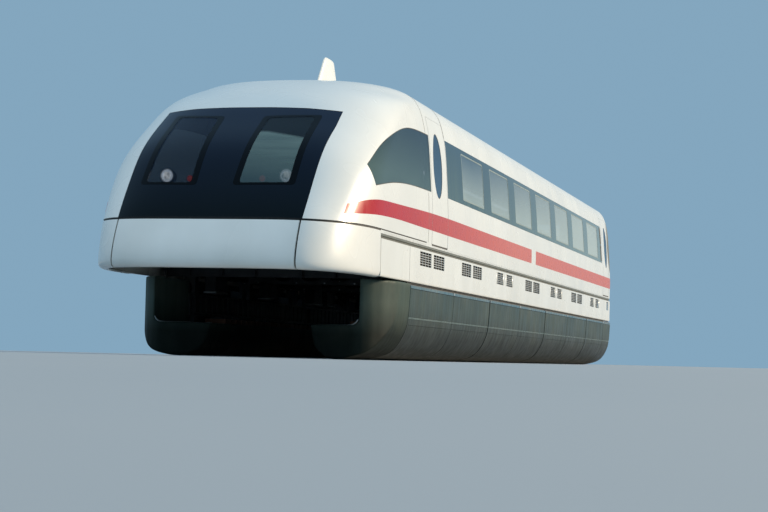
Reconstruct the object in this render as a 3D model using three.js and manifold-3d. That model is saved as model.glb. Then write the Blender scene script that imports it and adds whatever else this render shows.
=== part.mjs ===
// Leading end car of a high-speed magnetic levitation train, in millimetres.
// +X is forward to the nose, +Y is the car's left, +Z is up. The origin is on the ground, below the
// middle of the car. The hollow body stands on four levitation chassis that wrap round the guideway.
import * as THREE from 'three';
import { mergeVertices } from 'three/addons/utils/BufferGeometryUtils.js';
import Module from 'manifold-3d';

const wasm = await Module();
wasm.setup();

// Driving dimensions
const NOSE_TIP = 13600;
const JOINT_FACE = -13400;
const BODY_REAR = -13340;
const NOSE_SEAM_X = 8500;
const CHEEK_SEAM_X = 11460;
const COVER_START_X = 9720;
const PITCH = 3096;
const FIT = 0.3;
const WALL = 100;
const SHELL = 70;

const FLOOR_BOTTOM = 1600;
const BODY_BOTTOM = 1711;
const FLOOR_TOP = BODY_BOTTOM - FIT;
const NOSE_SEAM_Z = 1767;
const WALL_TOP = 3767;
const ROOF_TOP = 4160;
const FLOOR_EDGE_Y = 1795;
const SKIRT_Y = 1850;
const SKIRT_FOOT = 1130;
const SKIRT_TOP = 1642;

const WHITE = 0xe9ebe6;
const DARK_GREEN = 0x3c4a47;
const SCREEN_BLUE = 0x14202c;
const GLASS_BLUE = 0x6f8ea3;
const BLACK = 0x16181a;
const STEEL = 0x6b7073;
const SEAT_BLUE = 0x2c4468;
const LIGHT_GREY = 0xb9bcb8;

// Body section, from the lower edge to the crown: height z, half width y.
const SECTION = [
  [1711, 1843], [2050, 1849], [2520, 1832], [2830, 1811], [3150, 1787], [3490, 1745], [3640, 1708],
  [3767, 1666], [3875, 1606], [3967, 1518], [4040, 1345], [4100, 1000], [4140, 600], [4160, 0],
];

// Nose in level slices: height z, half width, tip x, depth of the rounding behind the tip,
// power of the width and power of the depth in the slice's superellipse.
const NOSE_LEVELS = [
  [1711, 1843, 13390, 1950, 4.85, 2.14],
  [1767, 1843, 13355, 1920, 4.75, 2.18],
  [2050, 1849, 13170, 1750, 3.90, 2.30],
  [2400, 1839, 12902, 1600, 3.35, 2.43],
  [2800, 1813, 12520, 1600, 3.19, 2.36],
  [3150, 1787, 12009, 1600, 3.01, 2.30],
  [3400, 1759, 11622, 1600, 2.88, 2.26],
  [3600, 1719, 11270, 1657, 2.78, 2.23],
  [3767, 1666, 10843, 1777, 2.69, 2.22],
  [3875, 1606, 10490, 1879, 2.64, 2.21],
  [3967, 1518, 10156, 1656, 2.59, 2.20],
  [4040, 1345, 9827, 1327, 2.56, 2.20],
  [4100, 1000, 9430, 930, 2.53, 2.20],
  [4140, 600, 8898, 398, 2.51, 2.20],
  [4156, 146, 8627, 127, 2.50, 2.20],
];

// Lower nose below the dark seam, in the same columns. It leans forward to its foot, the foremost point.
const CHIN_LEVELS = [
  [1120, 1810, 13540, 2040, 4.90, 1.90],
  [1200, 1846, NOSE_TIP, 2100, 4.95, 1.90],
  [1390, 1846, 13560, 2080, 4.90, 1.95],
  [1600, 1845, 13452, 2010, 4.95, 2.06],
  [NOSE_SEAM_Z - FIT, 1843, 13355, 1920, 4.75, 2.18],
];

// Outer line of the dark lower side, from the top edge round the bottom to the arm's inner end: y, z.
const LOWER_SIDE = [
  [1862, 1110], [1870, 1060], [1864, 940], [1849, 679], [1827, 502], [1780, 377], [1726, 267],
  [1651, 167], [1549, 89], [1414, 44], [1220, 0], [1040, 0], [930, 60], [810, 146], [760, 300],
  [730, 470],
];

const DOOR_TOP = 3700;
const DOOR_SILL = 1755;
const DOOR_SEAM = 4;
// Doors: name, front edge x, rear edge x, window centre x, half width, low z, high z.
const DOORS = [
  ['front', 8250, 7090, 7745, 315, 2490, 3490],
  ['rear', -11990, -13090, -12610, 250, 2470, 3500],
];

const BAND = { front: 7065, rear: -11830, low: 2557, high: 3470, depth: 12 };
const PANE = { count: 7, front: 5830, pitch: 2515, width: 1840, low: 2630, high: 3400 };
const GRILLE = { rows: 7, first: 8190, half: 82, width: 775, low: 1400, high: 1610, bar: 22 };
const END_GRILLE = { front: -12680, rear: -13040 };

const SCREEN = { half: 1250, low: NOSE_SEAM_Z, corner: 3370, crown: 3410, depth: 45 };
// Windscreen window corners in front view: y, z.
const SCREEN_WINDOW = [[266, 2232], [1033, 2244], [1022, 3272], [297, 3241]];
// Cab side window in side view: x, z.
const CAB_WINDOW = [
  [11880, 2600], [11356, 2885], [10704, 3136], [9887, 3327], [9022, 3399], [8300, 3412],
  [8300, 2546], [9618, 2525], [10901, 2440], [11720, 2330],
];

// Levitation chassis: name, front end x, rear end x, yaw centre x, rear plate x. The last chassis has its
// rear plate ahead of the drawbar, which needs the room behind it.
const COVER_GAP = 24;
const PLATE_INSET = COVER_GAP + 400;
const CHASSIS = [
  ['1', COVER_START_X, COVER_START_X - 2 * PITCH, 6624, COVER_START_X - 2 * PITCH + PLATE_INSET],
  ['2', COVER_START_X - 2 * PITCH, COVER_START_X - 4 * PITCH, 432,
    COVER_START_X - 4 * PITCH + PLATE_INSET],
  ['3', COVER_START_X - 4 * PITCH, COVER_START_X - 6 * PITCH, -5760,
    COVER_START_X - 6 * PITCH + PLATE_INSET],
  ['4', COVER_START_X - 6 * PITCH, BODY_REAR, -11098, -12000],
];

// Solids and placing

function solidOf(geometry) {
  geometry.deleteAttribute('normal');
  geometry.deleteAttribute('uv');
  const merged = mergeVertices(geometry, 1e-3);
  return new wasm.Manifold(new wasm.Mesh({
    numProp: 3,
    vertProperties: new Float32Array(merged.attributes.position.array),
    triVerts: new Uint32Array(merged.index.array),
  }));
}

function geometryOf(solid) {
  const mesh = solid.getMesh();
  const geometry = new THREE.BufferGeometry();
  geometry.setAttribute('position', new THREE.BufferAttribute(mesh.vertProperties, 3));
  geometry.setIndex(new THREE.BufferAttribute(mesh.triVerts, 1));
  geometry.computeVertexNormals();
  return geometry;
}

function box(x0, x1, y0, y1, z0, z1) {
  const geometry = new THREE.BoxGeometry(x1 - x0, y1 - y0, z1 - z0);
  geometry.translate((x0 + x1) / 2, (y0 + y1) / 2, (z0 + z1) / 2);
  return solidOf(geometry);
}

function extruded(points, depth, matrix) {
  const shape = new THREE.Shape(points.map(([u, v]) => new THREE.Vector2(u, v)));
  const geometry = new THREE.ExtrudeGeometry(shape, { depth, bevelEnabled: false, steps: 1 });
  geometry.applyMatrix4(matrix);
  return solidOf(geometry);
}

const AXIS_X = new THREE.Vector3(1, 0, 0);
const AXIS_Y = new THREE.Vector3(0, 1, 0);
const AXIS_Z = new THREE.Vector3(0, 0, 1);

// A section in y and z, drawn out along X.
function alongX(points, x0, x1) {
  const matrix = new THREE.Matrix4().makeBasis(AXIS_Y, AXIS_Z, AXIS_X).setPosition(x0, 0, 0);
  return extruded(points, x1 - x0, matrix);
}

// A side view in x and z, drawn out along Y.
function alongY(points, y0, y1) {
  const back = AXIS_Y.clone().negate();
  const matrix = new THREE.Matrix4().makeBasis(AXIS_X, AXIS_Z, back).setPosition(0, y1, 0);
  return extruded(points, y1 - y0, matrix);
}

// A plan in x and y, drawn out along Z.
function alongZ(points, z0, z1) {
  return extruded(points, z1 - z0, new THREE.Matrix4().makeTranslation(0, 0, z0));
}

function cylinder(radius, length, sides, axis, x, y, z) {
  const geometry = new THREE.CylinderGeometry(radius, radius, length, sides);
  geometry.rotateX(axis === 'z' ? Math.PI / 2 : 0);
  geometry.rotateZ(axis === 'x' ? Math.PI / 2 : 0);
  geometry.translate(x, y, z);
  return solidOf(geometry);
}

function union(solids) {
  return solids.reduce((all, one) => all.add(one));
}

function mirrored(points) {
  return points.map(([u, v]) => [-u, v]).reverse();
}

// Moves an open outline sideways by a distance, to the left of its own direction.
function offsetLine(points, distance) {
  return points.map((point, i) => {
    const before = points[Math.max(i - 1, 0)];
    const after = points[Math.min(i + 1, points.length - 1)];
    const du = after[0] - before[0];
    const dv = after[1] - before[1];
    const length = Math.hypot(du, dv);
    return [point[0] - (dv / length) * distance, point[1] + (du / length) * distance];
  });
}

function rowAt(rows, z) {
  const last = rows.length - 1;
  const found = rows.findIndex((row) => row[0] > z);
  const i = found < 0 ? last : Math.max(found, 1);
  const t = (z - rows[i - 1][0]) / (rows[i][0] - rows[i - 1][0]);
  const share = Math.min(Math.max(t, 0), 1);
  return rows[i].map((value, k) => rows[i - 1][k] + share * (value - rows[i - 1][k]));
}

// One level slice of the nose as a closed plan outline, set in by a distance all round.
const SLICE_STEPS = 18;
function slice(row, rearX, inset) {
  const [z, width, tip, depth, widthPower, depthPower] = row;
  const half = Math.max(width - inset, 20);
  const points = [[rearX, -half, z]];
  for (let i = 0; i <= SLICE_STEPS; i += 1) {
    const angle = Math.PI * (i / SLICE_STEPS - 0.5);
    const side = Math.sign(angle) * Math.abs(Math.sin(angle)) ** (2 / widthPower);
    const front = Math.max(Math.cos(angle), 0) ** (2 / depthPower);
    points.push([Math.max(tip - inset - depth * (1 - front), rearX + 1), half * side, z]);
  }
  points.push([rearX, half, z]);
  return points;
}

// A closed body through level slices that all have the same number of points.
function loft(slices) {
  const count = slices[0].length;
  const index = [];
  const cap = slices[0].map(([x, y]) => new THREE.Vector2(x, y));
  const top = (slices.length - 1) * count;
  THREE.ShapeUtils.triangulateShape(cap, []).forEach(([a, b, c]) => {
    index.push(c, b, a);
  });
  const lid = slices[slices.length - 1].map(([x, y]) => new THREE.Vector2(x, y));
  THREE.ShapeUtils.triangulateShape(lid, []).forEach(([a, b, c]) => {
    index.push(top + a, top + b, top + c);
  });
  for (let s = 0; s < slices.length - 1; s += 1) {
    for (let i = 0; i < count; i += 1) {
      const a = s * count + i;
      const b = s * count + ((i + 1) % count);
      index.push(a, b, b + count, a, b + count, a + count);
    }
  }
  const geometry = new THREE.BufferGeometry();
  geometry.setAttribute('position', new THREE.Float32BufferAttribute(slices.flat(2), 3));
  geometry.setIndex(index);
  return solidOf(geometry);
}

// The nose as a full body, or set in by a distance for the inner side of its shell.
function noseBody(inset, drop, rearX, extraFoot) {
  const rows = NOSE_LEVELS.map(([z]) => {
    const source = rowAt(NOSE_LEVELS, Math.min(z + drop, ROOF_TOP - 4));
    return [z, ...source.slice(1)];
  }).filter(([z]) => z <= ROOF_TOP - 4 - drop || drop === 0);
  const slices = rows.map((row) => slice(row, rearX, inset));
  if (extraFoot > 0) {
    slices.unshift(slice([rows[0][0] - extraFoot, ...rows[0].slice(1)], rearX, inset));
  }
  return loft(slices);
}

function chinBody(inset, extraFoot, extraHead) {
  const rows = CHIN_LEVELS.map((row) => [...row]);
  rows[0][0] -= extraFoot;
  rows[rows.length - 1][0] += extraHead;
  return loft(rows.map((row) => slice(row, CHEEK_SEAM_X - (inset > 0 ? 100 : 0), inset)));
}

// Half of the wall's section between two depths below its outer face.
function wallStrip(side, outer, inner, low, high) {
  const levels = [low, ...SECTION.map(([z]) => z).filter((z) => z > low && z < high), high];
  const face = levels.map((z) => [side * (rowAt(SECTION, z)[1] - outer), z]);
  const back = levels.map((z) => [side * (rowAt(SECTION, z)[1] - inner), z]).reverse();
  return [...face, ...back];
}

// Inside line of the hollow body, from the left foot over the crown to the right foot.
function insideOutline(low, clearance) {
  const left = [];
  const wallLevels = [low, 2050, 2830, 3490, WALL_TOP];
  wallLevels.forEach((z) => left.push([rowAt(SECTION, z)[1] - WALL - clearance, z]));
  const roofRise = (ROOF_TOP - WALL - WALL_TOP - clearance) / (ROOF_TOP - WALL_TOP);
  const roofWidth = (1666 - WALL - clearance) / 1666;
  SECTION.filter(([z]) => z > WALL_TOP).forEach(([z, y]) => {
    left.push([y * roofWidth, WALL_TOP + (z - WALL_TOP) * roofRise]);
  });
  const right = left.slice(0, -1).map(([y, z]) => [-y, z]).reverse();
  return [...left, ...right];
}

const SIDES = [['left', 1], ['right', -1]];

const car = new THREE.Group();
car.name = 'maglev_end_car';

function addPart(name, solid, color, roughness, metalness) {
  const material = new THREE.MeshStandardMaterial({ color, roughness, metalness });
  const mesh = new THREE.Mesh(geometryOf(solid), material);
  mesh.name = name;
  car.add(mesh);
}

// Floor: one plate under the saloon and the cab, its edge set back behind the skirt.
function floorPlate() {
  const nose = slice(rowAt(CHIN_LEVELS, FLOOR_TOP), CHEEK_SEAM_X - 10, SHELL + 12)
    .map(([x, y]) => [x, y]);
  const plan = [
    [BODY_REAR, -FLOOR_EDGE_Y], [CHEEK_SEAM_X - 10, -FLOOR_EDGE_Y], ...nose,
    [CHEEK_SEAM_X - 10, FLOOR_EDGE_Y], [BODY_REAR, FLOOR_EDGE_Y],
  ];
  return alongZ(plan, FLOOR_BOTTOM, FLOOR_TOP);
}

function doorBox(side, row, grow, foot) {
  const [, front, rear] = row;
  const inner = side > 0 ? 1000 : -2400;
  return box(rear - grow, front + grow, inner, inner + 1400, foot, DOOR_TOP + grow);
}

function ellipse(cx, cz, rx, rz, steps) {
  const points = [];
  for (let i = 0; i < steps; i += 1) {
    const angle = (2 * Math.PI * i) / steps;
    points.push([cx + rx * Math.cos(angle), cz + rz * Math.sin(angle)]);
  }
  return points;
}

const OVAL_STEPS = 14;
function doorOval(side, row, grow) {
  const [, , , centre, half, low, high] = row;
  const outline = ellipse(centre, (low + high) / 2, half + grow, (high - low) / 2 + grow, OVAL_STEPS);
  return side > 0 ? alongY(outline, 1000, 2400) : alongY(outline, -2400, -1000);
}

function cabWindowPrism(side, grow) {
  const middle = [10000, 2900];
  const outline = CAB_WINDOW.map(([x, z]) => {
    const length = Math.hypot(x - middle[0], z - middle[1]);
    return [x + ((x - middle[0]) / length) * grow, z + ((z - middle[1]) / length) * grow];
  });
  return side > 0 ? alongY(outline, 900, 2400) : alongY(outline, -2400, -900);
}

function sideWall(side) {
  const full = alongX(wallStrip(side, 0, WALL, BODY_BOTTOM, WALL_TOP - FIT), BODY_REAR,
    NOSE_SEAM_X - FIT);
  let wall = full;
  DOORS.forEach((row) => {
    wall = wall.subtract(doorBox(side, row, 0, DOOR_SILL - FIT));
  });
  const bandCut = wallStrip(side, -40, BAND.depth, BAND.low, BAND.high);
  wall = wall.subtract(alongX(bandCut, BAND.rear, BAND.front));
  for (let i = 0; i < PANE.count; i += 1) {
    const front = PANE.front - i * PANE.pitch;
    const y = side > 0 ? 1400 : -2200;
    wall = wall.subtract(box(front - PANE.width, front, y, y + 800, PANE.low, PANE.high));
  }
  return wall.subtract(cabWindowPrism(side, 0));
}

function door(side, row) {
  const full = alongX(wallStrip(side, 0, WALL, BODY_BOTTOM, WALL_TOP - FIT), BODY_REAR,
    NOSE_SEAM_X - FIT);
  return full.intersect(doorBox(side, row, -DOOR_SEAM, DOOR_SILL)).subtract(doorOval(side, row, 0));
}

function doorGlass(side, row) {
  const layer = alongX(wallStrip(side, 4, 30, 2300, 3600), row[2], row[1]);
  return layer.intersect(doorOval(side, row, -FIT));
}

function windowBand(side) {
  const strip = wallStrip(side, 1, BAND.depth - FIT, BAND.low + FIT, BAND.high - FIT);
  return alongX(strip, BAND.rear + FIT, BAND.front - FIT);
}

// Roof: the arched panel between the two walls.
function roofPanel() {
  const outer = SECTION.filter(([z]) => z >= WALL_TOP).map(([z, y]) => [y, z]);
  const inner = insideOutline(WALL_TOP, 0).filter(([y, z]) => z >= WALL_TOP && y >= 0);
  const outerRight = mirrored(outer.slice(0, -1));
  const innerRight = mirrored(inner.slice(0, -1)).reverse();
  const points = [...outer, ...outerRight, ...innerRight, ...inner.reverse()];
  return alongX(points.reverse(), BODY_REAR, NOSE_SEAM_X - FIT);
}

const GANGWAY = { half: 520, low: 1775, high: 3620, frame: 130 };

function rearEndWall() {
  const plate = alongX(insideOutline(BODY_BOTTOM, FIT), BODY_REAR, BODY_REAR + 80);
  const way = box(BODY_REAR - 10, BODY_REAR + 90, -GANGWAY.half, GANGWAY.half, GANGWAY.low,
    GANGWAY.high);
  return plate.subtract(way);
}

function gangwayFrame() {
  const outer = box(JOINT_FACE, BODY_REAR - FIT, -GANGWAY.half - GANGWAY.frame,
    GANGWAY.half + GANGWAY.frame, BODY_BOTTOM, GANGWAY.high + GANGWAY.frame);
  const way = box(JOINT_FACE - 10, BODY_REAR + 10, -GANGWAY.half, GANGWAY.half, GANGWAY.low,
    GANGWAY.high);
  return outer.subtract(way);
}

// Windscreen panel outline in front view, set in by a distance.
function screenPrism(inset, foot) {
  const half = SCREEN.half - inset;
  const low = SCREEN.low - foot;
  const points = [
    [-half, low], [half, low], [half, SCREEN.corner - inset], [half / 2, SCREEN.crown - inset],
    [-half / 2, SCREEN.crown - inset], [-half, SCREEN.corner - inset],
  ];
  return alongX(points, 10800, NOSE_TIP);
}

function screenWindow(side, grow) {
  const points = SCREEN_WINDOW.map(([y, z], i) => [
    side * (y + (i === 1 || i === 2 ? grow : -grow)), z + (i > 1 ? grow : -grow),
  ]);
  return alongX(side > 0 ? points : points.reverse(), 10800, NOSE_TIP);
}

function noseShell(outer) {
  const inner = noseBody(SHELL, 80, NOSE_SEAM_X - 100, 100);
  const below = box(CHEEK_SEAM_X, NOSE_TIP + 100, -2000, 2000, 1600, NOSE_SEAM_Z);
  let shell = outer.subtract(inner).subtract(below).subtract(screenPrism(0, 100));
  SIDES.forEach(([, side]) => {
    shell = shell.subtract(cabWindowPrism(side, 0));
  });
  return shell;
}

const FLAP_HALF = 1230;
const FLAP_SEAM = 6;
const HINGE = { x: 13120, z: 1210, pin: 15, bore: 15.8, lug: 40, arm: 420, ear: 20, y: 800 };

function chinShell() {
  return chinBody(0, 0, 0).subtract(chinBody(SHELL, 60, 60));
}

function noseCheek(side) {
  const keep = side > 0
    ? box(11000, NOSE_TIP + 100, FLAP_HALF, 2200, 1000, 1900)
    : box(11000, NOSE_TIP + 100, -2200, -FLAP_HALF, 1000, 1900);
  return chinShell().intersect(keep);
}

function noseFlap() {
  const keep = box(12000, NOSE_TIP + 100, -FLAP_HALF + FLAP_SEAM, FLAP_HALF - FLAP_SEAM, 1000,
    NOSE_SEAM_Z - FLAP_SEAM);
  let flap = chinShell().intersect(keep);
  SIDES.forEach(([, side]) => {
    const y = side * HINGE.y;
    const lug = box(HINGE.x - 30, HINGE.x + HINGE.arm, y - HINGE.lug, y + HINGE.lug,
      HINGE.z - 30, HINGE.z + 30);
    const bore = cylinder(HINGE.bore, 3 * HINGE.lug, 16, 'y', HINGE.x, y, HINGE.z);
    flap = flap.add(lug).subtract(bore);
  });
  return flap;
}

// Cross beam behind the flap, hung from the floor by two posts, with the flap's hinge pins.
function noseFrame() {
  const rear = HINGE.x - 250;
  const front = HINGE.x - 100;
  const pieces = [box(rear, front, -880, 880, 1150, 1290)];
  SIDES.forEach(([, side]) => {
    pieces.push(box(rear, front - 40, side * 500 - 60, side * 500 + 60, 1280,
      FLOOR_BOTTOM - FIT));
    [-1, 1].forEach((end) => {
      const y = side * HINGE.y + end * (HINGE.lug + 6 + HINGE.ear / 2);
      pieces.push(box(front - 10, HINGE.x + 25, y - HINGE.ear / 2, y + HINGE.ear / 2, HINGE.z - 28,
        HINGE.z + 28));
    });
    const reach = 2 * (HINGE.lug + 6) + HINGE.ear;
    pieces.push(cylinder(HINGE.pin, reach, 16, 'y', HINGE.x, side * HINGE.y, HINGE.z));
  });
  return union(pieces);
}

// Skirt: the white lower side with its ventilation grilles.
function grilleBars(front, rear, y0, y1) {
  const count = Math.max(Math.round((front - rear) / 260) - 1, 1);
  const yMid = (y0 + y1) / 2;
  const bars = [];
  for (let i = 1; i <= count; i += 1) {
    const x = rear + ((front - rear) * i) / (count + 1);
    bars.push(box(x - GRILLE.bar / 2, x + GRILLE.bar / 2, yMid - 8, yMid + 8, GRILLE.low - 5,
      GRILLE.high + 5));
  }
  return bars;
}

function skirt(side) {
  const y0 = side > 0 ? FLOOR_EDGE_Y + FIT : -SKIRT_Y;
  const y1 = side > 0 ? SKIRT_Y : -FLOOR_EDGE_Y - FIT;
  let panel = box(BODY_REAR, CHEEK_SEAM_X - 3, y0, y1, SKIRT_FOOT, SKIRT_TOP);
  const openings = [[END_GRILLE.front, END_GRILLE.rear]];
  for (let i = 0; i < GRILLE.rows; i += 1) {
    const middle = GRILLE.first - i * PITCH;
    openings.push([middle + GRILLE.half + GRILLE.width, middle + GRILLE.half]);
    openings.push([middle - GRILLE.half, middle - GRILLE.half - GRILLE.width]);
  }
  openings.forEach(([front, rear]) => {
    panel = panel.subtract(box(rear, front, y0 - 10, y1 + 10, GRILLE.low, GRILLE.high));
    panel = panel.add(union(grilleBars(front, rear, y0, y1)));
  });
  return panel;
}

// Levitation chassis
const COVER_SHEET = 25;
const SKID_FOOT = 925;
const FRAME = {
  top: 1380, beamFoot: 1185, outerY: 1690, innerY: 1510, armTop: 410, plate: 140, spring: 1550,
};

function coverSheet(side, front, rear) {
  const inner = offsetLine(LOWER_SIDE, -COVER_SHEET);
  inner[0][1] = LOWER_SIDE[0][1];
  inner[inner.length - 1][1] = LOWER_SIDE[LOWER_SIDE.length - 1][1];
  const ring = [...LOWER_SIDE, ...inner.reverse()];
  return alongX(side > 0 ? ring.reverse() : mirrored(ring.reverse()), rear, front);
}

// Half outline of one frame plate: over the guideway, down its side and under its edge.
function frameHalf() {
  const hook = offsetLine(LOWER_SIDE, -COVER_SHEET - FIT);
  const outer = [1, 3, 4, 6, 8, 10, 11, 13, 14].map((i) => hook[i]);
  return [
    [FRAME.outerY, FRAME.top - 90], [FRAME.outerY, 1125], ...outer,
    [790, FRAME.armTop], [1440, FRAME.armTop], [FRAME.innerY, 490], [FRAME.innerY, FRAME.beamFoot],
  ];
}

function levitationFrame(front, rear, centre, rearPlate) {
  const half = frameHalf();
  const outline = [
    [-FRAME.outerY + 130, FRAME.top], [FRAME.outerY - 130, FRAME.top], ...half, ...mirrored(half),
  ];
  const pieces = [];
  const ends = [front - PLATE_INSET, rearPlate];
  const stations = [ends[0], centre, ends[1]];
  stations.forEach((x) => {
    pieces.push(alongX(outline.map((p) => [...p]).reverse(), x - FRAME.plate / 2,
      x + FRAME.plate / 2));
  });
  const x0 = rear + COVER_GAP + 30;
  const x1 = front - COVER_GAP - 30;
  SIDES.forEach(([, side]) => {
    const beam = [FRAME.innerY + 20, FRAME.innerY + 150].map((y) => side * y).sort((a, b) => a - b);
    pieces.push(box(x0, x1, beam[0], beam[1], 1200, 1360));
    const guide = [1420, FRAME.innerY + 4].map((y) => side * y).sort((a, b) => a - b);
    pieces.push(box(x0, x1, guide[0], guide[1], 620, 900));
    stations.forEach((x) => {
      const skid = [1120, 1290].map((y) => side * y).sort((a, b) => a - b);
      pieces.push(box(x - 260, x + 260, skid[0], skid[1], SKID_FOOT, FRAME.beamFoot + 20));
    });
    ends.forEach((x) => {
      const spring = cylinder(130, FLOOR_BOTTOM - FIT - FRAME.top + 20, 10, 'z', x,
        side * FRAME.spring * 0.8, (FLOOR_BOTTOM - FIT + FRAME.top - 20) / 2);
      pieces.push(spring);
    });
  });
  pieces.push(cylinder(150, FLOOR_BOTTOM - FIT - FRAME.top + 20, 12, 'z', centre, 0,
    (FLOOR_BOTTOM - FIT + FRAME.top - 20) / 2));
  return union(pieces);
}

function liftMagnet(side, front, rear) {
  const y0 = side > 0 ? 925 : -1295;
  const body = box(rear + COVER_GAP + 20, front - COVER_GAP - 20, y0, y0 + 370,
    FRAME.armTop + FIT, 520);
  const poles = box(rear + COVER_GAP + 20, front - COVER_GAP - 20, side * 1110 - 92,
    side * 1110 + 92, 510, 575);
  return body.add(poles);
}

// Rounded front end of the dark lower side, ahead of the first cover.
function cowl(side) {
  const section = [
    ...LOWER_SIDE, [1400, 470], [1455, 490], [1480, 545], [1480, 1110],
  ];
  const plan = [
    [COVER_START_X + FIT, 600], [10750, 600], [11000, 850], [11150, 1150], [11210, 1430],
    [11190, 1560], [11100, 1680], [10850, 1790], [10400, 1850], [COVER_START_X + FIT, 1900],
  ];
  const points = side > 0 ? section.reverse() : mirrored(section.reverse());
  const outline = side > 0 ? plan : plan.map(([x, y]) => [x, -y]).reverse();
  return alongX(points, COVER_START_X + FIT, 11400).intersect(alongZ(outline, -50, 1300));
}

// Drawbar under the rear of the floor, turning on an upright pin.
function couplerDrawbar() {
  const pivot = -12500;
  return union([
    cylinder(140, FLOOR_BOTTOM - FIT - 1410, 16, 'z', pivot, 0, (FLOOR_BOTTOM - FIT + 1410) / 2),
    box(JOINT_FACE + 60, pivot, -70, 70, 1430, 1560),
    box(JOINT_FACE, JOINT_FACE + 70, -190, 190, 1405, 1585),
  ]);
}

// Saloon and cab
const SEAT = { rows: 18, first: 6300, pitch: 1000, inner: 330, outer: 1560 };
function seatRows(side) {
  const y = [SEAT.inner, SEAT.outer].map((v) => side * v).sort((a, b) => a - b);
  const rail = [560, 700].map((v) => side * v).sort((a, b) => a - b);
  const rearmost = SEAT.first - (SEAT.rows - 1) * SEAT.pitch;
  const pieces = [box(rearmost - 500, SEAT.first, rail[0], rail[1], FLOOR_TOP + FIT, 1750)];
  for (let i = 0; i < SEAT.rows; i += 1) {
    const x = SEAT.first - i * SEAT.pitch;
    const profile = [
      [x, 2050], [x, 2150], [x - 420, 2130], [x - 600, 2880], [x - 690, 2860], [x - 480, 1740],
      [x - 230, 1740], [x - 230, 2050],
    ];
    pieces.push(alongY(profile.reverse(), y[0], y[1]));
  }
  return union(pieces);
}

function cabBulkhead() {
  const plate = alongX(insideOutline(BODY_BOTTOM, FIT), 8350, 8410);
  return plate.subtract(box(8300, 8460, -360, 360, BODY_BOTTOM + 40, 3620));
}

const LAMPS = [[835, 105], [465, 70]];
function driverDesk() {
  const profile = [
    [11450, FLOOR_TOP + FIT], [11600, 2000], [11350, 2120], [11350, 2180], [12000, 2250],
    [12560, 2245], [12560, FLOOR_TOP + FIT],
  ];
  const pieces = [alongY(profile, -1120, 1120)];
  SIDES.forEach(([, side]) => {
    LAMPS.forEach(([y, radius]) => {
      pieces.push(cylinder(radius, 230, 16, 'x', 12440, side * y, 2230 + radius));
    });
  });
  return union(pieces);
}

function driverSeat() {
  const profile = [
    [10950, 2080], [10950, 2200], [10500, 2180], [10380, 3000], [10280, 2990], [10370, 2080],
    [10600, 2080], [10600, FLOOR_TOP + FIT], [10760, FLOOR_TOP + FIT], [10760, 2080],
  ];
  return alongY(profile.reverse(), -260, 260);
}

// Aerial fin on the crown of the roof.
function roofFin() {
  const foot = ROOF_TOP + FIT;
  const profile = [[7100, foot], [8370, foot], [7930, 4660], [7420, 4690]];
  return alongY(profile, -30, 30);
}

function equipmentBox(front, rear) {
  return box(rear, front, -1600, 1600, 1420, FLOOR_BOTTOM - FIT);
}

// Assembly
const noseOuter = noseBody(0, 0, NOSE_SEAM_X, 0);
const cabOuter = noseBody(0, 0, CAB_WINDOW[5][0], 0);

addPart('floor', floorPlate(), LIGHT_GREY, 0.6, 0.2);
addPart('roof', roofPanel(), WHITE, 0.3, 0.05);
addPart('rear_end_wall', rearEndWall(), LIGHT_GREY, 0.5, 0.1);
addPart('nose_shell', noseShell(noseOuter), WHITE, 0.28, 0.05);

const screenLayer = noseOuter.subtract(noseBody(SCREEN.depth, SCREEN.depth, NOSE_SEAM_X, 0))
  .intersect(box(10800, NOSE_TIP, -1500, 1500, NOSE_SEAM_Z, ROOF_TOP));
let screenPanel = screenLayer.intersect(screenPrism(FIT, 0));
SIDES.forEach(([, side]) => {
  screenPanel = screenPanel.subtract(screenWindow(side, 0));
});
addPart('windscreen_panel', screenPanel, SCREEN_BLUE, 0.12, 0.1);

const glassLayer = cabOuter.subtract(noseBody(30, 30, CAB_WINDOW[5][0] - 100, 0));
SIDES.forEach(([name, side]) => {
  addPart(`side_wall_${name}`, sideWall(side), WHITE, 0.3, 0.05);
  addPart(`windscreen_glass_${name}`, screenLayer.intersect(screenWindow(side, -FIT)), GLASS_BLUE,
    0.08, 0);
  addPart(`cab_window_${name}`, glassLayer.intersect(cabWindowPrism(side, -1)), GLASS_BLUE, 0.08, 0);
  addPart(`nose_cheek_${name}`, noseCheek(side), WHITE, 0.3, 0.05);
  addPart(`skirt_${name}`, skirt(side), WHITE, 0.35, 0.05);
  addPart(`window_band_${name}`, windowBand(side), GLASS_BLUE, 0.1, 0);
  DOORS.forEach((row) => {
    addPart(`door_${row[0]}_${name}`, door(side, row), WHITE, 0.3, 0.05);
    addPart(`door_glass_${row[0]}_${name}`, doorGlass(side, row), GLASS_BLUE, 0.1, 0);
  });
  addPart(`seats_${name}`, seatRows(side), SEAT_BLUE, 0.9, 0);
  addPart(`nose_cowl_${name}`, cowl(side), DARK_GREEN, 0.45, 0.2);
});

addPart('nose_flap', noseFlap(), WHITE, 0.3, 0.05);
addPart('nose_frame', noseFrame(), BLACK, 0.6, 0.4);
addPart('gangway_frame', gangwayFrame(), BLACK, 0.8, 0);
addPart('coupler_drawbar', couplerDrawbar(), STEEL, 0.5, 0.7);
addPart('cab_bulkhead', cabBulkhead(), LIGHT_GREY, 0.6, 0);
addPart('driver_desk', driverDesk(), BLACK, 0.6, 0);
addPart('driver_seat', driverSeat(), BLACK, 0.8, 0);
addPart('roof_fin', roofFin(), WHITE, 0.35, 0.05);
addPart('equipment_box_front', equipmentBox(6300, 4300), STEEL, 0.6, 0.5);
addPart('equipment_box_rear', equipmentBox(150, -1950), STEEL, 0.6, 0.5);

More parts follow.
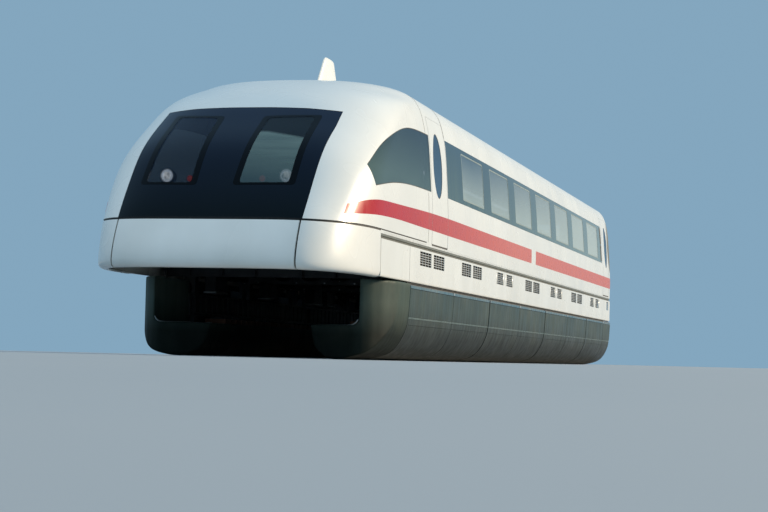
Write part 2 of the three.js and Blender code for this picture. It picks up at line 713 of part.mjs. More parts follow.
CHASSIS.forEach(([name, front, rear, centre, rearPlate]) => {
  const coverFront = name === '1' ? front : front - COVER_GAP;
  const coverRear = name === '4' ? rear : rear + COVER_GAP;
  addPart(`levitation_frame_${name}`, levitationFrame(front, rear, centre, rearPlate), STEEL, 0.55, 0.6);
  SIDES.forEach(([side, sign]) => {
    addPart(`lift_magnet_${side}_${name}`, liftMagnet(sign, front, rear), BLACK, 0.6, 0.3);
    addPart(`cover_${side}_${name}`, coverSheet(sign, coverFront, coverRear), DARK_GREEN, 0.45, 0.2);
  });
});

export default car;
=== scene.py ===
# %% [markdown]
# # The end car of a magnetic levitation train
# This lesson dresses a imported CAD model: a streamlined end car on four long levitation chassis.
# The frame below holds the CAD nodes in metres, +X to the nose, +Y to the car's left and +Z up. Every piece
# is made where the car has it, then tied to the body it moves with.

# %% The frame
import math
from collections import namedtuple
from contextlib import contextmanager

import bmesh
import bpy
import numpy as np
from mathutils import Matrix, Vector


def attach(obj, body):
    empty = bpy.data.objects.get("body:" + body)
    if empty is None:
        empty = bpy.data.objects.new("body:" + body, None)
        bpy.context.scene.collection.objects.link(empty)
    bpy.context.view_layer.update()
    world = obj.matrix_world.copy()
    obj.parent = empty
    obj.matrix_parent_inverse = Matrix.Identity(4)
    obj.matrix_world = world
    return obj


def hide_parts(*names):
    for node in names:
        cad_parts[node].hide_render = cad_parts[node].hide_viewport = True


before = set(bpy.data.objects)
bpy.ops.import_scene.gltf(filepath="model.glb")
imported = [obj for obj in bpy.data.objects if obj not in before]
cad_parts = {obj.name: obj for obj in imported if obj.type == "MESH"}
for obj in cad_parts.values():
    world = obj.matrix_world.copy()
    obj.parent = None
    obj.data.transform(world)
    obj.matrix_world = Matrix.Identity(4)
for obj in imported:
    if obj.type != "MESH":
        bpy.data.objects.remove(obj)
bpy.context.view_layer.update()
SIDES = (("left", 1), ("right", -1))

# %% [markdown]
# ## Camera
# The picture was taken with a long lens from ahead of the nose, on its left, looking slightly up. The eye
# stands at floor level. Its place, turn and focal length were solved from the straight edges of the car,
# so they are given as numbers and turned into a camera matrix: right, up and backward axes.

# %% Camera
EYE = Vector((36.811, 8.109, 0.012))
YAW, PITCH, ROLL = math.radians(13.776), math.radians(3.045), math.radians(1.352)
FOCAL_PIXELS, PICTURE_WIDTH, SENSOR_WIDTH = 1941.8, 768, 36.0
NEAREST, FARTHEST = 0.05, 600.0


def place_camera():
    forward = Vector((-math.cos(YAW) * math.cos(PITCH), -math.sin(YAW) * math.cos(PITCH), math.sin(PITCH)))
    level = forward.cross(Vector((0, 0, 1))).normalized()
    upward = level.cross(forward)
    right = math.cos(ROLL) * level + math.sin(ROLL) * upward
    up = -math.sin(ROLL) * level + math.cos(ROLL) * upward
    lens = bpy.data.cameras.new("camera")
    lens.sensor_width, lens.sensor_fit = SENSOR_WIDTH, "HORIZONTAL"
    lens.lens = FOCAL_PIXELS * SENSOR_WIDTH / PICTURE_WIDTH
    lens.clip_start, lens.clip_end = NEAREST, FARTHEST
    camera = bpy.data.objects.new("camera", lens)
    bpy.context.scene.collection.objects.link(camera)
    matrix = Matrix((right, up, -forward)).transposed().to_4x4()
    matrix.translation = EYE
    camera.matrix_world = matrix
    bpy.context.scene.camera = camera
    print("lens", round(lens.lens, 2), "mm")


place_camera()

# %% [markdown]
# ## Making meshes
# All pieces go through a few helpers. `solid` closes a mesh: it merges doubled points and turns every face
# outward. `carve` cuts a closed mesh with others. `tie` ties a piece to its body and hides the CAD nodes that it
# stands for. Left and right pieces are made from the same numbers with a sign on Y.

# %% Mesh helpers
def new_object(name, mesh):
    thing = bpy.data.objects.new(name, mesh)
    bpy.context.scene.collection.objects.link(thing)
    return thing


@contextmanager
def opened(mesh):
    """The mesh opened for editing, and written back at the end."""
    work = bmesh.new()
    work.from_mesh(mesh)
    yield work
    work.to_mesh(mesh)
    work.free()


def solid(name, points, faces, merge=1e-5):
    mesh = bpy.data.meshes.new(name)
    mesh.from_pydata([tuple(map(float, p)) for p in points], [], faces)
    with opened(mesh) as work:
        bmesh.ops.remove_doubles(work, verts=work.verts, dist=merge)
        bmesh.ops.dissolve_degenerate(work, edges=work.edges, dist=1e-6)
        bmesh.ops.recalc_face_normals(work, faces=work.faces)
    return new_object(name, mesh)


def joined(name, things):
    work = bmesh.new()
    for thing in things:
        work.from_mesh(thing.data)
        bpy.data.objects.remove(thing)
    mesh = bpy.data.meshes.new(name)
    work.to_mesh(mesh)
    work.free()
    return new_object(name, mesh)


def plain(thing):
    """The thing with its modifiers applied, as a plain mesh."""
    graph = bpy.context.evaluated_depsgraph_get()
    mesh = bpy.data.meshes.new_from_object(thing.evaluated_get(graph), depsgraph=graph)
    thing.modifiers.clear()
    thing.data = mesh
    thing.data.materials.clear()
    return thing


def soften(thing, angle=32):
    """Smooth faces, with a hard edge wherever two faces meet at more than the angle."""
    with opened(thing.data) as work:
        for face in work.faces:
            face.smooth = True
        for edge in work.edges:
            edge.smooth = len(edge.link_faces) == 2 and edge.calc_face_angle(0.0) < math.radians(angle)
    return thing


def dressed(thing, material):
    thing.data.materials.clear()
    thing.data.materials.append(material)
    return thing


def tie(thing, replaced=(), body="car_body"):
    """Sets the body that a piece moves with and hides the CAD nodes that it stands for."""
    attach(thing, body)
    if replaced:
        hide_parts(*replaced)


def circle(radius, steps):
    turns = [2 * math.pi * i / steps for i in range(steps)]
    return [(radius * math.cos(turn), radius * math.sin(turn)) for turn in turns]


def block(x0, x1, y0, y1, z0, z1):
    xs, ys, zs = sorted((x0, x1)), sorted((y0, y1)), sorted((z0, z1))
    points = [(x, y, z) for x in xs for y in ys for z in zs]
    faces = [(0, 1, 3, 2), (4, 6, 7, 5), (0, 4, 5, 1), (2, 3, 7, 6), (0, 2, 6, 4), (1, 5, 7, 3)]
    return points, faces


def prism(outline, axis, low, high):
    """An outline drawn out along an axis: y and z for axis x, x and z for axis y, x and y for axis z."""
    place = {"x": lambda u, v, w: (w, u, v), "y": lambda u, v, w: (u, w, v), "z": lambda u, v, w: (u, v, w)}[axis]
    count = len(outline)
    points = [place(u, v, low) for u, v in outline] + [place(u, v, high) for u, v in outline]
    faces = [tuple(range(count)), tuple(range(2 * count - 1, count - 1, -1))]
    faces += [(i, (i + 1) % count, count + (i + 1) % count, count + i) for i in range(count)]
    return solid("prism", points, faces)


def carve(thing, cutters, operation="DIFFERENCE"):
    for cutter in cutters:
        modifier = thing.modifiers.new("carve", "BOOLEAN")
        modifier.solver, modifier.operation, modifier.object = "MANIFOLD", operation, cutter
    plain(thing)
    for cutter in cutters:
        bpy.data.objects.remove(cutter)
    return thing


def rounded(corners, radius, steps=5):
    """A polygon with each corner rounded to the radius."""
    points, count = [], len(corners)
    for i, corner in enumerate(corners):
        here = np.array(corner, float)
        before, after = np.array(corners[i - 1]) - here, np.array(corners[(i + 1) % count]) - here
        a, b = before / np.linalg.norm(before), after / np.linalg.norm(after)
        reach = min(radius, 0.45 * np.linalg.norm(before), 0.45 * np.linalg.norm(after))
        points += [tuple(here + a * reach * (1 - t) ** 2 + b * reach * t ** 2) for t in np.linspace(0, 1, steps + 1)]
    return points


print("mesh helpers ready")

# %% [markdown]
# ## The body's form as a formula
# The real nose is one smooth skin. At every height it is a rounded slice: straight sides, then a rounding
# that closes at the tip, known as a superellipse. Half width, tip, depth and the two powers of the rounding
# change smoothly with height, so each is a cubic spline through measured rows. The height is counted as the
# root of the distance below the crown, which spaces the rows evenly over the flat roof.

# %% Body formula
CROWN, NOSE_SEAM_X, NOSE_SEAM_Z, BODY_REAR = 4.160, 8.5, 1.767, -13.34
# Rows: height, half width, tip, depth of the rounding, width power, depth power.
NOSE_ROWS = [
    (4.160, 0.0, 8.500, 0.001, 2.50, 2.20), (4.140, 0.600, 9.030, 0.530, 2.51, 2.20),
    (4.100, 1.000, 9.430, 0.930, 2.53, 2.20), (4.040, 1.345, 9.827, 1.327, 2.56, 2.20),
    (3.967, 1.518, 10.156, 1.656, 2.59, 2.20), (3.875, 1.606, 10.490, 1.879, 2.64, 2.21),
    (3.767, 1.666, 10.843, 1.777, 2.69, 2.22), (3.600, 1.719, 11.270, 1.657, 2.78, 2.23),
    (3.400, 1.759, 11.622, 1.600, 2.88, 2.26), (3.150, 1.787, 12.009, 1.600, 3.01, 2.30),
    (2.800, 1.813, 12.520, 1.600, 3.19, 2.36), (2.400, 1.839, 12.902, 1.600, 3.35, 2.43),
    (2.050, 1.849, 13.170, 1.750, 3.90, 2.30), (1.767, 1.843, 13.355, 1.920, 4.75, 2.18),
    (1.600, 1.843, 13.452, 2.010, 5.20, 2.10),
]
CHIN_ROWS = [
    (1.900, 1.843, 13.270, 1.830, 4.40, 2.25), (1.767, 1.843, 13.355, 1.920, 4.75, 2.18),
    (1.600, 1.845, 13.452, 2.010, 4.95, 2.06), (1.390, 1.846, 13.560, 2.080, 4.90, 1.95),
    (1.200, 1.846, 13.600, 2.100, 4.95, 1.90), (1.100, 1.844, 13.590, 2.090, 4.95, 1.90),
]


def spline(knots, values):
    """A natural cubic spline as a function of numbers or arrays."""
    knots, values = np.array(knots, float), np.array(values, float)
    gap, count = np.diff(knots), len(knots)
    system, right = np.eye(count), np.zeros(count)
    for i in range(1, count - 1):
        system[i, i - 1:i + 2] = gap[i - 1], 2 * (gap[i - 1] + gap[i]), gap[i]
        right[i] = 6 * ((values[i + 1] - values[i]) / gap[i] - (values[i] - values[i - 1]) / gap[i - 1])
    bend = np.linalg.solve(system, right)

    def at(x):
        i = np.clip(np.searchsorted(knots, x) - 1, 0, count - 2)
        a, b, h = knots[i + 1] - x, x - knots[i], gap[i]
        cubic = (bend[i] * a ** 3 + bend[i + 1] * b ** 3) / (6 * h)
        return cubic + (values[i] / h - bend[i] * h / 6) * a + (values[i + 1] / h - bend[i + 1] * h / 6) * b
    return at


def root_depth(z):
    return np.sqrt(np.maximum(CROWN - np.asarray(z, float), 0.0))


def form(rows):
    """Half width, tip, depth, width power and depth power as functions of the height."""
    columns = list(zip(*rows))
    curves = [spline(root_depth(columns[0]), column) for column in columns[1:]]

    def at(z):
        width, tip, depth, p, q = (curve(root_depth(z)) for curve in curves)
        return np.maximum(width, 0.0), tip, np.maximum(depth, 0.001), p, q
    return at


nose_form, chin_form = form(NOSE_ROWS), form(CHIN_ROWS)


def side_y(x, z):
    """How far out the skin lies at a place along the car and a height."""
    width, tip, depth, p, q = nose_form(z)
    u = np.clip((x - (tip - depth)) / depth, 0.0, 1.0)
    return width * (1 - u ** q) ** (1 / p)


def implicit(points):
    """Below zero inside the skin and above zero outside it."""
    x, y, z = points.T
    width, tip, depth, p, q = nose_form(np.minimum(z, CROWN - 1e-6))
    width = np.maximum(width, 1e-3)
    u = np.maximum((x - (tip - depth)) / depth, 0.0)
    return (np.abs(y) / width) ** p + u ** q - 1


SLOPE_STEP, FLAT_CROWN = 1e-4, 0.004


def skin_normals(points):
    """Outward directions of the formula's surface at points on or near it. They turn upright at the crown."""
    points = np.asarray(points, float).copy()
    points[:, 2] = np.minimum(points[:, 2], CROWN - 2 * SLOPE_STEP)
    normal = np.stack([implicit(points + axis) - implicit(points - axis) for axis in np.eye(3) * SLOPE_STEP], 1)
    length = np.linalg.norm(normal, axis=1, keepdims=True)
    normal = np.where(length > 1e-9, normal / np.maximum(length, 1e-9), [0.0, 0.0, 1.0])
    flat = np.clip((points[:, 2] - (CROWN - FLAT_CROWN)) / FLAT_CROWN, 0, 1)[:, None]
    normal = normal * (1 - flat) + np.array([0, 0, 1.0]) * flat
    return normal / np.linalg.norm(normal, axis=1, keepdims=True)


def way_along(points):
    """The distance from the start of a line to each of its points."""
    return np.concatenate([[0], np.cumsum(np.linalg.norm(np.diff(points, axis=0), axis=1))])


def resampled(points, count):
    points = np.asarray(points, float)
    along = way_along(points)
    stations = np.linspace(0, along[-1], count)
    return np.stack([np.interp(stations, along, column) for column in points.T], 1)


def level_line(z, rear_x, count, shape=nose_form, inset=0.0):
    """The skin at one height, from the right side's rear round the tip to the left side's rear."""
    width, tip, depth, p, q = (float(v) for v in shape(z))
    angle = (math.pi / 2) * np.linspace(0, 1, 400) ** (p / 2)
    y = np.maximum(width - inset, 0.0) * np.sin(angle) ** (2 / p)
    x = tip - inset - depth * (1 - np.maximum(np.cos(angle), 0.0) ** (2 / q))
    half = np.stack([np.maximum(x, rear_x), y], 1)
    half = np.vstack([half, [[rear_x, y[-1]]]])
    whole = np.vstack([half[::-1] * [1, -1], half[1:]])
    line = resampled(whole, count)
    return np.column_stack([line, np.full(count, z)])


print("nose tip at the seam", round(float(nose_form(NOSE_SEAM_Z)[1]), 3))
print("half width under the windows", round(float(side_y(0.0, 2.05)), 3))

# %% [markdown]
# ## Shells
# A wall is a closed shell: an outer grid of points, the same grid moved in by the wall's thickness, and rims
# that join them. Windows are cut out with prisms. A cut leaves long thin faces, and gloss would show them,
# so each corner gets its normal from the formula and the cut skin still shines as one surface.

# %% Shell helpers
def shell_between(name, outer, inner):
    """A closed body between two grids of points with the same rows and columns."""
    rows, columns = outer.shape[:2]
    points = np.vstack([outer.reshape(-1, 3), inner.reshape(-1, 3)])
    at = lambda layer, r, c: layer * rows * columns + r * columns + c
    faces = []
    for r in range(rows - 1):
        for c in range(columns - 1):
            faces.append((at(0, r, c), at(0, r, c + 1), at(0, r + 1, c + 1), at(0, r + 1, c)))
            faces.append((at(1, r, c), at(1, r + 1, c), at(1, r + 1, c + 1), at(1, r, c + 1)))
    for r in range(rows - 1):
        faces += [(at(0, r, c), at(0, r + 1, c), at(1, r + 1, c), at(1, r, c)) for c in (0, columns - 1)]
    for c in range(columns - 1):
        faces += [(at(0, r, c), at(0, r, c + 1), at(1, r, c + 1), at(1, r, c)) for r in (0, rows - 1)]
    thing = solid(name, points, faces)
    with opened(thing.data) as work:
        bmesh.ops.triangulate(work, faces=work.faces)
    return thing


def formed_shell(name, grid, outer, inner):
    """A shell between two depths below the formula's skin, over a grid of points on it."""
    flat = grid.reshape(-1, 3)
    normal = skin_normals(flat)
    return shell_between(name, *((flat - normal * depth).reshape(grid.shape) for depth in (outer, inner)))


def read_out(items, key, width, kind=float):
    values = np.empty(len(items) * width, kind)
    items.foreach_get(key, values)
    return values.reshape(-1, width) if width > 1 else values


SAME_WAY = 0.85


def shine(thing, material, lining=None):
    """Corner normals from the formula on the skin's two sides, and flat ones on rims. A lining takes the
    inner faces and rims."""
    mesh = thing.data
    for layer in (material, lining) if lining else (material,):
        mesh.materials.append(layer)
    corner, total = read_out(mesh.loops, "vertex_index", 1, int), read_out(mesh.polygons, "loop_total", 1, int)
    face_of = np.repeat(np.arange(len(total)), total)
    normals = read_out(mesh.polygons, "normal", 3)[face_of]
    formula = skin_normals(read_out(mesh.vertices, "co", 3))[corner]
    agree = np.sum(normals * formula, axis=1)
    least, most = np.full(len(total), 2.0), np.full(len(total), -2.0)
    np.minimum.at(least, face_of, agree)
    np.maximum.at(most, face_of, agree)
    out_face, in_face = least > SAME_WAY, most < -SAME_WAY
    normals[out_face[face_of]] = formula[out_face[face_of]]
    normals[in_face[face_of]] = -formula[in_face[face_of]]
    mesh.polygons.foreach_set("use_smooth", np.ones(len(total), bool))
    mesh.normals_split_custom_set([tuple(v) for v in normals])
    if lining:
        mesh.polygons.foreach_set("material_index", np.where(out_face, 0, 1).astype(np.int32))
    mesh.update()
    return thing


print("shell helpers ready")

# %% [markdown]
# ## Light and floor
# A plain pale floor and a soft studio: a cool, even light from all round, and one wide warm lamp far away on
# the car's left. The lamp stands a little behind the car, so its side is bright and the nose is in cool
# shade, with a highlight where the nose turns. The plain colour transform is kept, as paint shows best in it.

# %% Light and floor
def far_lamp(name, towards, strength, colour, angle, mirrored_in_paint=True):
    lamp = bpy.data.lights.new(name, "SUN")
    lamp.energy, lamp.color, lamp.angle = strength, colour, math.radians(angle)
    thing = bpy.data.objects.new(name, lamp)
    thing.rotation_euler = Vector(towards).to_track_quat("Z", "Y").to_euler()
    thing.visible_glossy = mirrored_in_paint
    bpy.context.scene.collection.objects.link(thing)


def light_studio():
    scene = bpy.context.scene
    scene.view_settings.view_transform = "Standard"
    scene.view_settings.look = "None"
    world = bpy.data.worlds.new("studio")
    world.use_nodes = True
    all_round = world.node_tree.nodes["Background"]
    all_round.inputs["Color"].default_value = (0.36, 0.60, 0.81, 1)
    all_round.inputs["Strength"].default_value = 0.64
    scene.world = world
    far_lamp("warm_key", (-0.60, 0.74, 0.29), 4.25, (1.0, 0.83, 0.60), 9)
    far_lamp("soft_top", (0.10, -0.06, 1.0), 1.10, (0.90, 0.95, 1.0), 50, False)


light_studio()
STAGE = [(-260, -260), (60, -260), (60, 260), (-260, 260)]
stage_floor = solid("stage_floor", [(x, y, -0.004) for x, y in STAGE], [(0, 1, 2, 3)])
print("studio lit, key lamp 9 degrees wide")

# %% [markdown]
# ## Finishes
# Every finish is built from a few parts: a shader with its constants, two tones mixed by noise in the piece's own
# coordinates, patches of roughness, and a fine relief. `tone` turns a paint chip's hexadecimal colour into
# the shader's linear numbers.

# %% Finish helpers
def tone(chip):
    parts = [int(chip[i:i + 2], 16) / 255 for i in (0, 2, 4)]
    return tuple(c / 12.92 if c <= 0.04045 else ((c + 0.055) / 1.055) ** 2.4 for c in parts) + (1.0,)


def finish(name, roughness=0.5, metallic=0.0, coat=0.0, coat_roughness=0.08, alpha=1.0, specular=0.5):
    material = bpy.data.materials.new(name)
    material.use_nodes = True
    shader = material.node_tree.nodes["Principled BSDF"]
    for socket, value in (("Roughness", roughness), ("Metallic", metallic), ("Coat Weight", coat),
                          ("Coat Roughness", coat_roughness), ("Alpha", alpha), ("Specular IOR Level", specular)):
        shader.inputs[socket].default_value = value
    return material


def parts_of(material):
    return material.node_tree.nodes, material.node_tree.links, material.node_tree.nodes["Principled BSDF"]


def noise(material, scale, stretch, detail):
    nodes, links, _ = parts_of(material)
    where, mapping, grain = (nodes.new("ShaderNode" + k) for k in ("TexCoord", "Mapping", "TexNoise"))
    mapping.inputs["Scale"].default_value = stretch
    grain.inputs["Scale"].default_value, grain.inputs["Detail"].default_value = scale, detail
    links.new(where.outputs["Object"], mapping.inputs["Vector"])
    links.new(mapping.outputs["Vector"], grain.inputs["Vector"])
    return grain.outputs["Fac"]


def ranged(material, value, low, high, to_low=0.0, to_high=1.0):
    nodes, links, _ = parts_of(material)
    scaled = nodes.new("ShaderNodeMapRange")
    for socket, number in (("From Min", low), ("From Max", high), ("To Min", to_low), ("To Max", to_high)):
        scaled.inputs[socket].default_value = number
    links.new(value, scaled.inputs["Value"])
    return scaled.outputs["Result"]


def patches(material, scale, low, high, to_low=0.0, to_high=1.0, stretch=(1, 1, 1), detail=4.0):
    """Noise between two of its values, spread over the range that is wanted."""
    return ranged(material, noise(material, scale, stretch, detail), low, high, to_low, to_high)


def combined(material, first, second, operation="MULTIPLY"):
    nodes, links, _ = parts_of(material)
    sum_or_product = nodes.new("ShaderNodeMath")
    sum_or_product.operation = operation
    links.new(first, sum_or_product.inputs[0])
    links.new(second, sum_or_product.inputs[1])
    return sum_or_product.outputs["Value"]


def coordinate(material, axis):
    nodes, links, _ = parts_of(material)
    where, split = nodes.new("ShaderNodeTexCoord"), nodes.new("ShaderNodeSeparateXYZ")
    links.new(where.outputs["Object"], split.inputs["Vector"])
    return split.outputs[axis]


def fade(material, axis, low, high, to_low=0.0, to_high=1.0):
    """An even change along one axis of the car."""
    return ranged(material, coordinate(material, axis), low, high, to_low, to_high)


def mixed(material, share, first, second):
    """A colour between two, each a chip or a colour socket."""
    nodes, links, _ = parts_of(material)
    blend = nodes.new("ShaderNodeMix")
    blend.data_type = "RGBA"
    links.new(share, blend.inputs["Factor"])
    for socket, colour in (("A", first), ("B", second)):
        into = [s for s in blend.inputs if s.name == socket and s.type == "RGBA"][0]
        if isinstance(colour, str):
            into.default_value = tone(colour)
        else:
            links.new(colour, into)
    return [s for s in blend.outputs if s.type == "RGBA"][0]


def coloured(material, colour):
    _, links, shader = parts_of(material)
    links.new(colour, shader.inputs["Base Color"])
    return material


def rough(material, value):
    _, links, shader = parts_of(material)
    links.new(value, shader.inputs["Roughness"])
    return material


def relief(material, height, distance, strength):
    nodes, links, shader = parts_of(material)
    bump = nodes.new("ShaderNodeBump")
    bump.inputs["Distance"].default_value, bump.inputs["Strength"].default_value = distance, strength
    links.new(height, bump.inputs["Height"])
    links.new(bump.outputs["Normal"], shader.inputs["Normal"])
    return material


print("finish helpers ready")

# %% [markdown]
# ## Paint, glass and lower covers
# Body paint is a clear-coated white with a very faint change of tone and a dust film near the lower edge. The
# stripe is the same paint in red, a little paler towards the rear. The lower covers are dark green-grey, brushed by
# spray and dust in upright streaks, with painted shade towards their foot and a pale upper film that is partly dust
# and partly painted sheen. Glass is a tinted skin that lets some light through, with painted reflection in its tones.

# %% Paint finishes
def white_paint():
    paint = finish("body_white", coat=0.35, coat_roughness=0.14, specular=0.35)
    base = mixed(paint, patches(paint, 0.7, 0.35, 0.65), "f1efe8", "eae8e1")
    film_mask = patches(paint, 1.6, 0.35, 0.75, stretch=(1, 1, 0.35), detail=2.0)
    coloured(paint, mixed(paint, combined(paint, fade(paint, "Z", 2.3, 1.1, 0.0, 0.30), film_mask), base, "cfcabd"))
    return rough(paint, patches(paint, 1.3, 0.3, 0.7, 0.24, 0.29, detail=1.0))


def red_paint():
    paint = finish("stripe_red", coat=0.10, coat_roughness=0.10, specular=0.12)
    red_patches = mixed(paint, patches(paint, 0.9, 0.3, 0.7), "b71619", "aa1317")
    # Paler towards the rear.
    coloured(paint, mixed(paint, fade(paint, "X", 11.5, 1.0), red_patches, "cc6c5c"))
    return rough(paint, patches(paint, 6.0, 0.3, 0.7, 0.24, 0.34))


def cover_paint(name, first, second, dust_and_sheen, roughness=0.30, specular=0.12):
    """Spray leaves upright streaks on the covers. Towards their foot they darken: painted shade. Their upper part
    takes a pale film, partly dust and partly painted sheen.
    """
    paint = finish(name, coat=0.02, coat_roughness=0.30, specular=specular)
    streak = patches(paint, 7.0, 0.32, 0.72, stretch=(1, 1, 0.10), detail=6.0)
    # The tone darkens towards 0c110d near the foot: painted shade.
    base = mixed(paint, fade(paint, "Z", 0.80, 0.34, 0.0, 0.88), mixed(paint, streak, first, second), "0c110d")
    # The pale film on the upper part is partly dust and partly painted sheen.
    film_mask = combined(paint, patches(paint, 3.0, 0.40, 0.75, stretch=(0.4, 1, 0.7)),
                     fade(paint, "Z", 0.2, 1.05, 0.05, 0.35))
    coloured(paint, mixed(paint, film_mask, base, dust_and_sheen))
    rough(paint, patches(paint, 9.0, 0.3, 0.7, roughness, roughness + 0.16, (1, 1, 0.15)))
    return relief(paint, noise(paint, 2.0, (0.6, 1, 0.25), 2.0), 0.003, 0.25)


# %% Glass and gloss
def dark_gloss(name, low_tone, high_tone, low, high, roughness, specular):
    """A glossy dark skin that changes tone with height: lighter and bluer towards the top, a painted reflection of the
    sky.
    """
    gloss = finish(name, specular=specular)
    shade = combined(gloss, fade(gloss, "Z", low, high), patches(gloss, 0.8, 0.2, 0.7, 0.7, 1.0))
    coloured(gloss, mixed(gloss, shade, low_tone, high_tone))
    return rough(gloss, patches(gloss, 3.0, 0.3, 0.7, roughness, roughness + 0.04))


BAND_TOP, BAND_FOOT = 3.45, 2.60


def tinted_glass(name, high_tone, low_tone, alpha, roughness=0.03, specular=0.7, grazing_reflection_tone=None):
    """A pane's skin, from one tone at the top to another at the bottom, paler towards the rear if wanted. Both
    changes are painted reflection in the glass.
    """
    glass = finish(name, roughness=roughness, alpha=alpha, specular=specular)
    shade = combined(glass, fade(glass, "Z", BAND_TOP, BAND_FOOT), patches(glass, 0.9, 0.25, 0.75, 0.75, 1.0))
    base = mixed(glass, shade, high_tone, low_tone)
    if grazing_reflection_tone:
        base = mixed(glass, fade(glass, "X", 5.0, -9.0, 0.0, 0.9), base, grazing_reflection_tone)
    return coloured(glass, base)


def lit_wall_pane(name, clear_tone, lit_wall_top, lit_wall_foot, alpha):
    """A pane with painted light behind it: a pale patch for the cab's inner wall in sunlight, up to a line a little
    below its top edge, lower towards the side. The patch is lighter at its top and has streaks: painted highlights.
    """
    pane = finish(name, roughness=0.10, alpha=alpha, specular=0.2)
    height = combined(pane, coordinate(pane, "Z"), fade(pane, "Y", 0.45, 1.0, 0.0, 0.10), "ADD")
    highlight_streaks = patches(pane, 2.0, 0.35, 0.70, stretch=(1, 0.5, 9), detail=2.0)
    lit_wall = mixed(pane, ranged(pane, height, 3.05, 2.30), lit_wall_top, lit_wall_foot)
    lit_wall = mixed(pane, combined(pane, highlight_streaks, ranged(pane, height, 2.30, 3.0, 0.1, 0.5)), lit_wall, lit_wall_foot)
    return coloured(pane, mixed(pane, ranged(pane, height, 3.020, 2.985), clear_tone, lit_wall))


def band_skin(name, high_tone, low_tone, grazing_reflection_tone):
    """The dark band between the panes: upright divisions behind the glass show as faint stripes. Its lighter foot
    and its paling towards the rear are painted reflection.
    """
    band = finish(name, specular=0.30)
    stripes = patches(band, 1.6, 0.40, 0.60, 0.55, 1.0, (2.6, 0, 0.02), 1.0)
    base = mixed(band, combined(band, fade(band, "Z", BAND_TOP, BAND_FOOT), stripes), high_tone, low_tone)
    coloured(band, mixed(band, fade(band, "X", 5.0, -11.0, 0.0, 0.6), base, grazing_reflection_tone))
    return rough(band, patches(band, 3.0, 0.3, 0.7, 0.10, 0.14))


# %% Metal, plastic, cloth and light
def grained(name, first, second, scale, roughness, metallic=0.0, height=0.0006, coat=0.0):
    """Plain hard finishes: cast metal, plate, rubber and moulded plastic."""
    surface = finish(name, metallic=metallic, coat=coat)
    coloured(surface, mixed(surface, patches(surface, scale / 6, 0.3, 0.7), first, second))
    rough(surface, patches(surface, scale / 3, 0.3, 0.7, roughness, roughness + 0.15))
    return relief(surface, noise(surface, scale, (1, 1, 1), 2.0), height, 0.5)


def woven(name, first, second, thread=260.0):
    """Upholstery: a fine weave of two yarns, darker in patches where it is worn."""
    cloth = finish(name, roughness=0.92, specular=0.15)
    base = mixed(cloth, patches(cloth, thread, 0.35, 0.65, stretch=(1, 0.15, 1), detail=1.0), first, second)
    coloured(cloth, mixed(cloth, patches(cloth, 4.0, 0.45, 0.75, 0.0, 0.35), base, "1c2a40"))
    return relief(cloth, noise(cloth, thread, (0.2, 1, 0.2), 1.0), 0.0008, 0.6)


def glowing(name, first, second, strength, grain=40.0):
    lamp = finish(name, roughness=0.2)
    colour = mixed(lamp, patches(lamp, grain, 0.35, 0.60), first, second)
    _, links, shader = parts_of(lamp)
    links.new(colour, shader.inputs["Emission Color"])
    shader.inputs["Emission Strength"].default_value = strength
    return coloured(lamp, colour)


# %% Table of finishes
WHITE = white_paint()
RED = red_paint()
# The last chip of each cover finish is its upper film: partly dust, partly painted sheen.
COVER = cover_paint("cover_green_grey", "2a3833", "34433c", "66695a")
COVER_RAIL = cover_paint("cover_rail_blue_grey", "56707a", "46606a", "8d8a7c", 0.22)
COWL = cover_paint("cowl_green_black", "3b4943", "46544d", "6b6d5f", 0.48, 0.06)
HINGE_STRIP = cover_paint("hinge_strip_pale", "7c8f8c", "6a7c7a", "8d8a7c", 0.25)
# The screen's and the frames' change of tone with height is painted sky reflection.
SCREEN = dark_gloss("screen_blue_black", "0a1318", "15223a", 1.8, 3.6, 0.10, 0.12)
# The band's and the panes' tones by height and towards the rear are painted reflection.
BAND_GLASS = band_skin("band_grey_green", "2c3f48", "4e5e53", "96a59d")
PANE = tinted_glass("pane_blue_grey", "3a5266", "c0cec7", 0.76, grazing_reflection_tone="dae4dc")
PANE_RIM = grained("pane_rim_pale", "748888", "677b7e", 20, 0.4)
DOOR_PANE = tinted_glass("door_pane_blue", "16304c", "345068", 0.92, 0.05, 0.3)
CAB_PANE = tinted_glass("cab_pane_smoke", "1b2d3e", "607672", 0.62, 0.06, 0.4)
# The left pane shows painted light: the sunlit inner wall of the cab behind it.
SCREEN_PANE = {"right": tinted_glass("screen_pane_ink", "10203c", "0c1826", 0.52, 0.10, 0.2),
               "left": lit_wall_pane("screen_pane_haze", "101c26", "84978f", "4a5d60", 0.68)}
LINING = grained("lining_grey", "8f9390", "a3a6a2", 60, 0.55)
SEAM_GREY = grained("seam_grey", "7c807e", "6c706e", 40, 0.6)
SEAL = grained("seal_rubber", "0d0e0e", "151616", 90, 0.6)
FRAME_BLACK = dark_gloss("window_frame_black", "05080c", "0a111a", 2.0, 3.5, 0.20, 0.08)
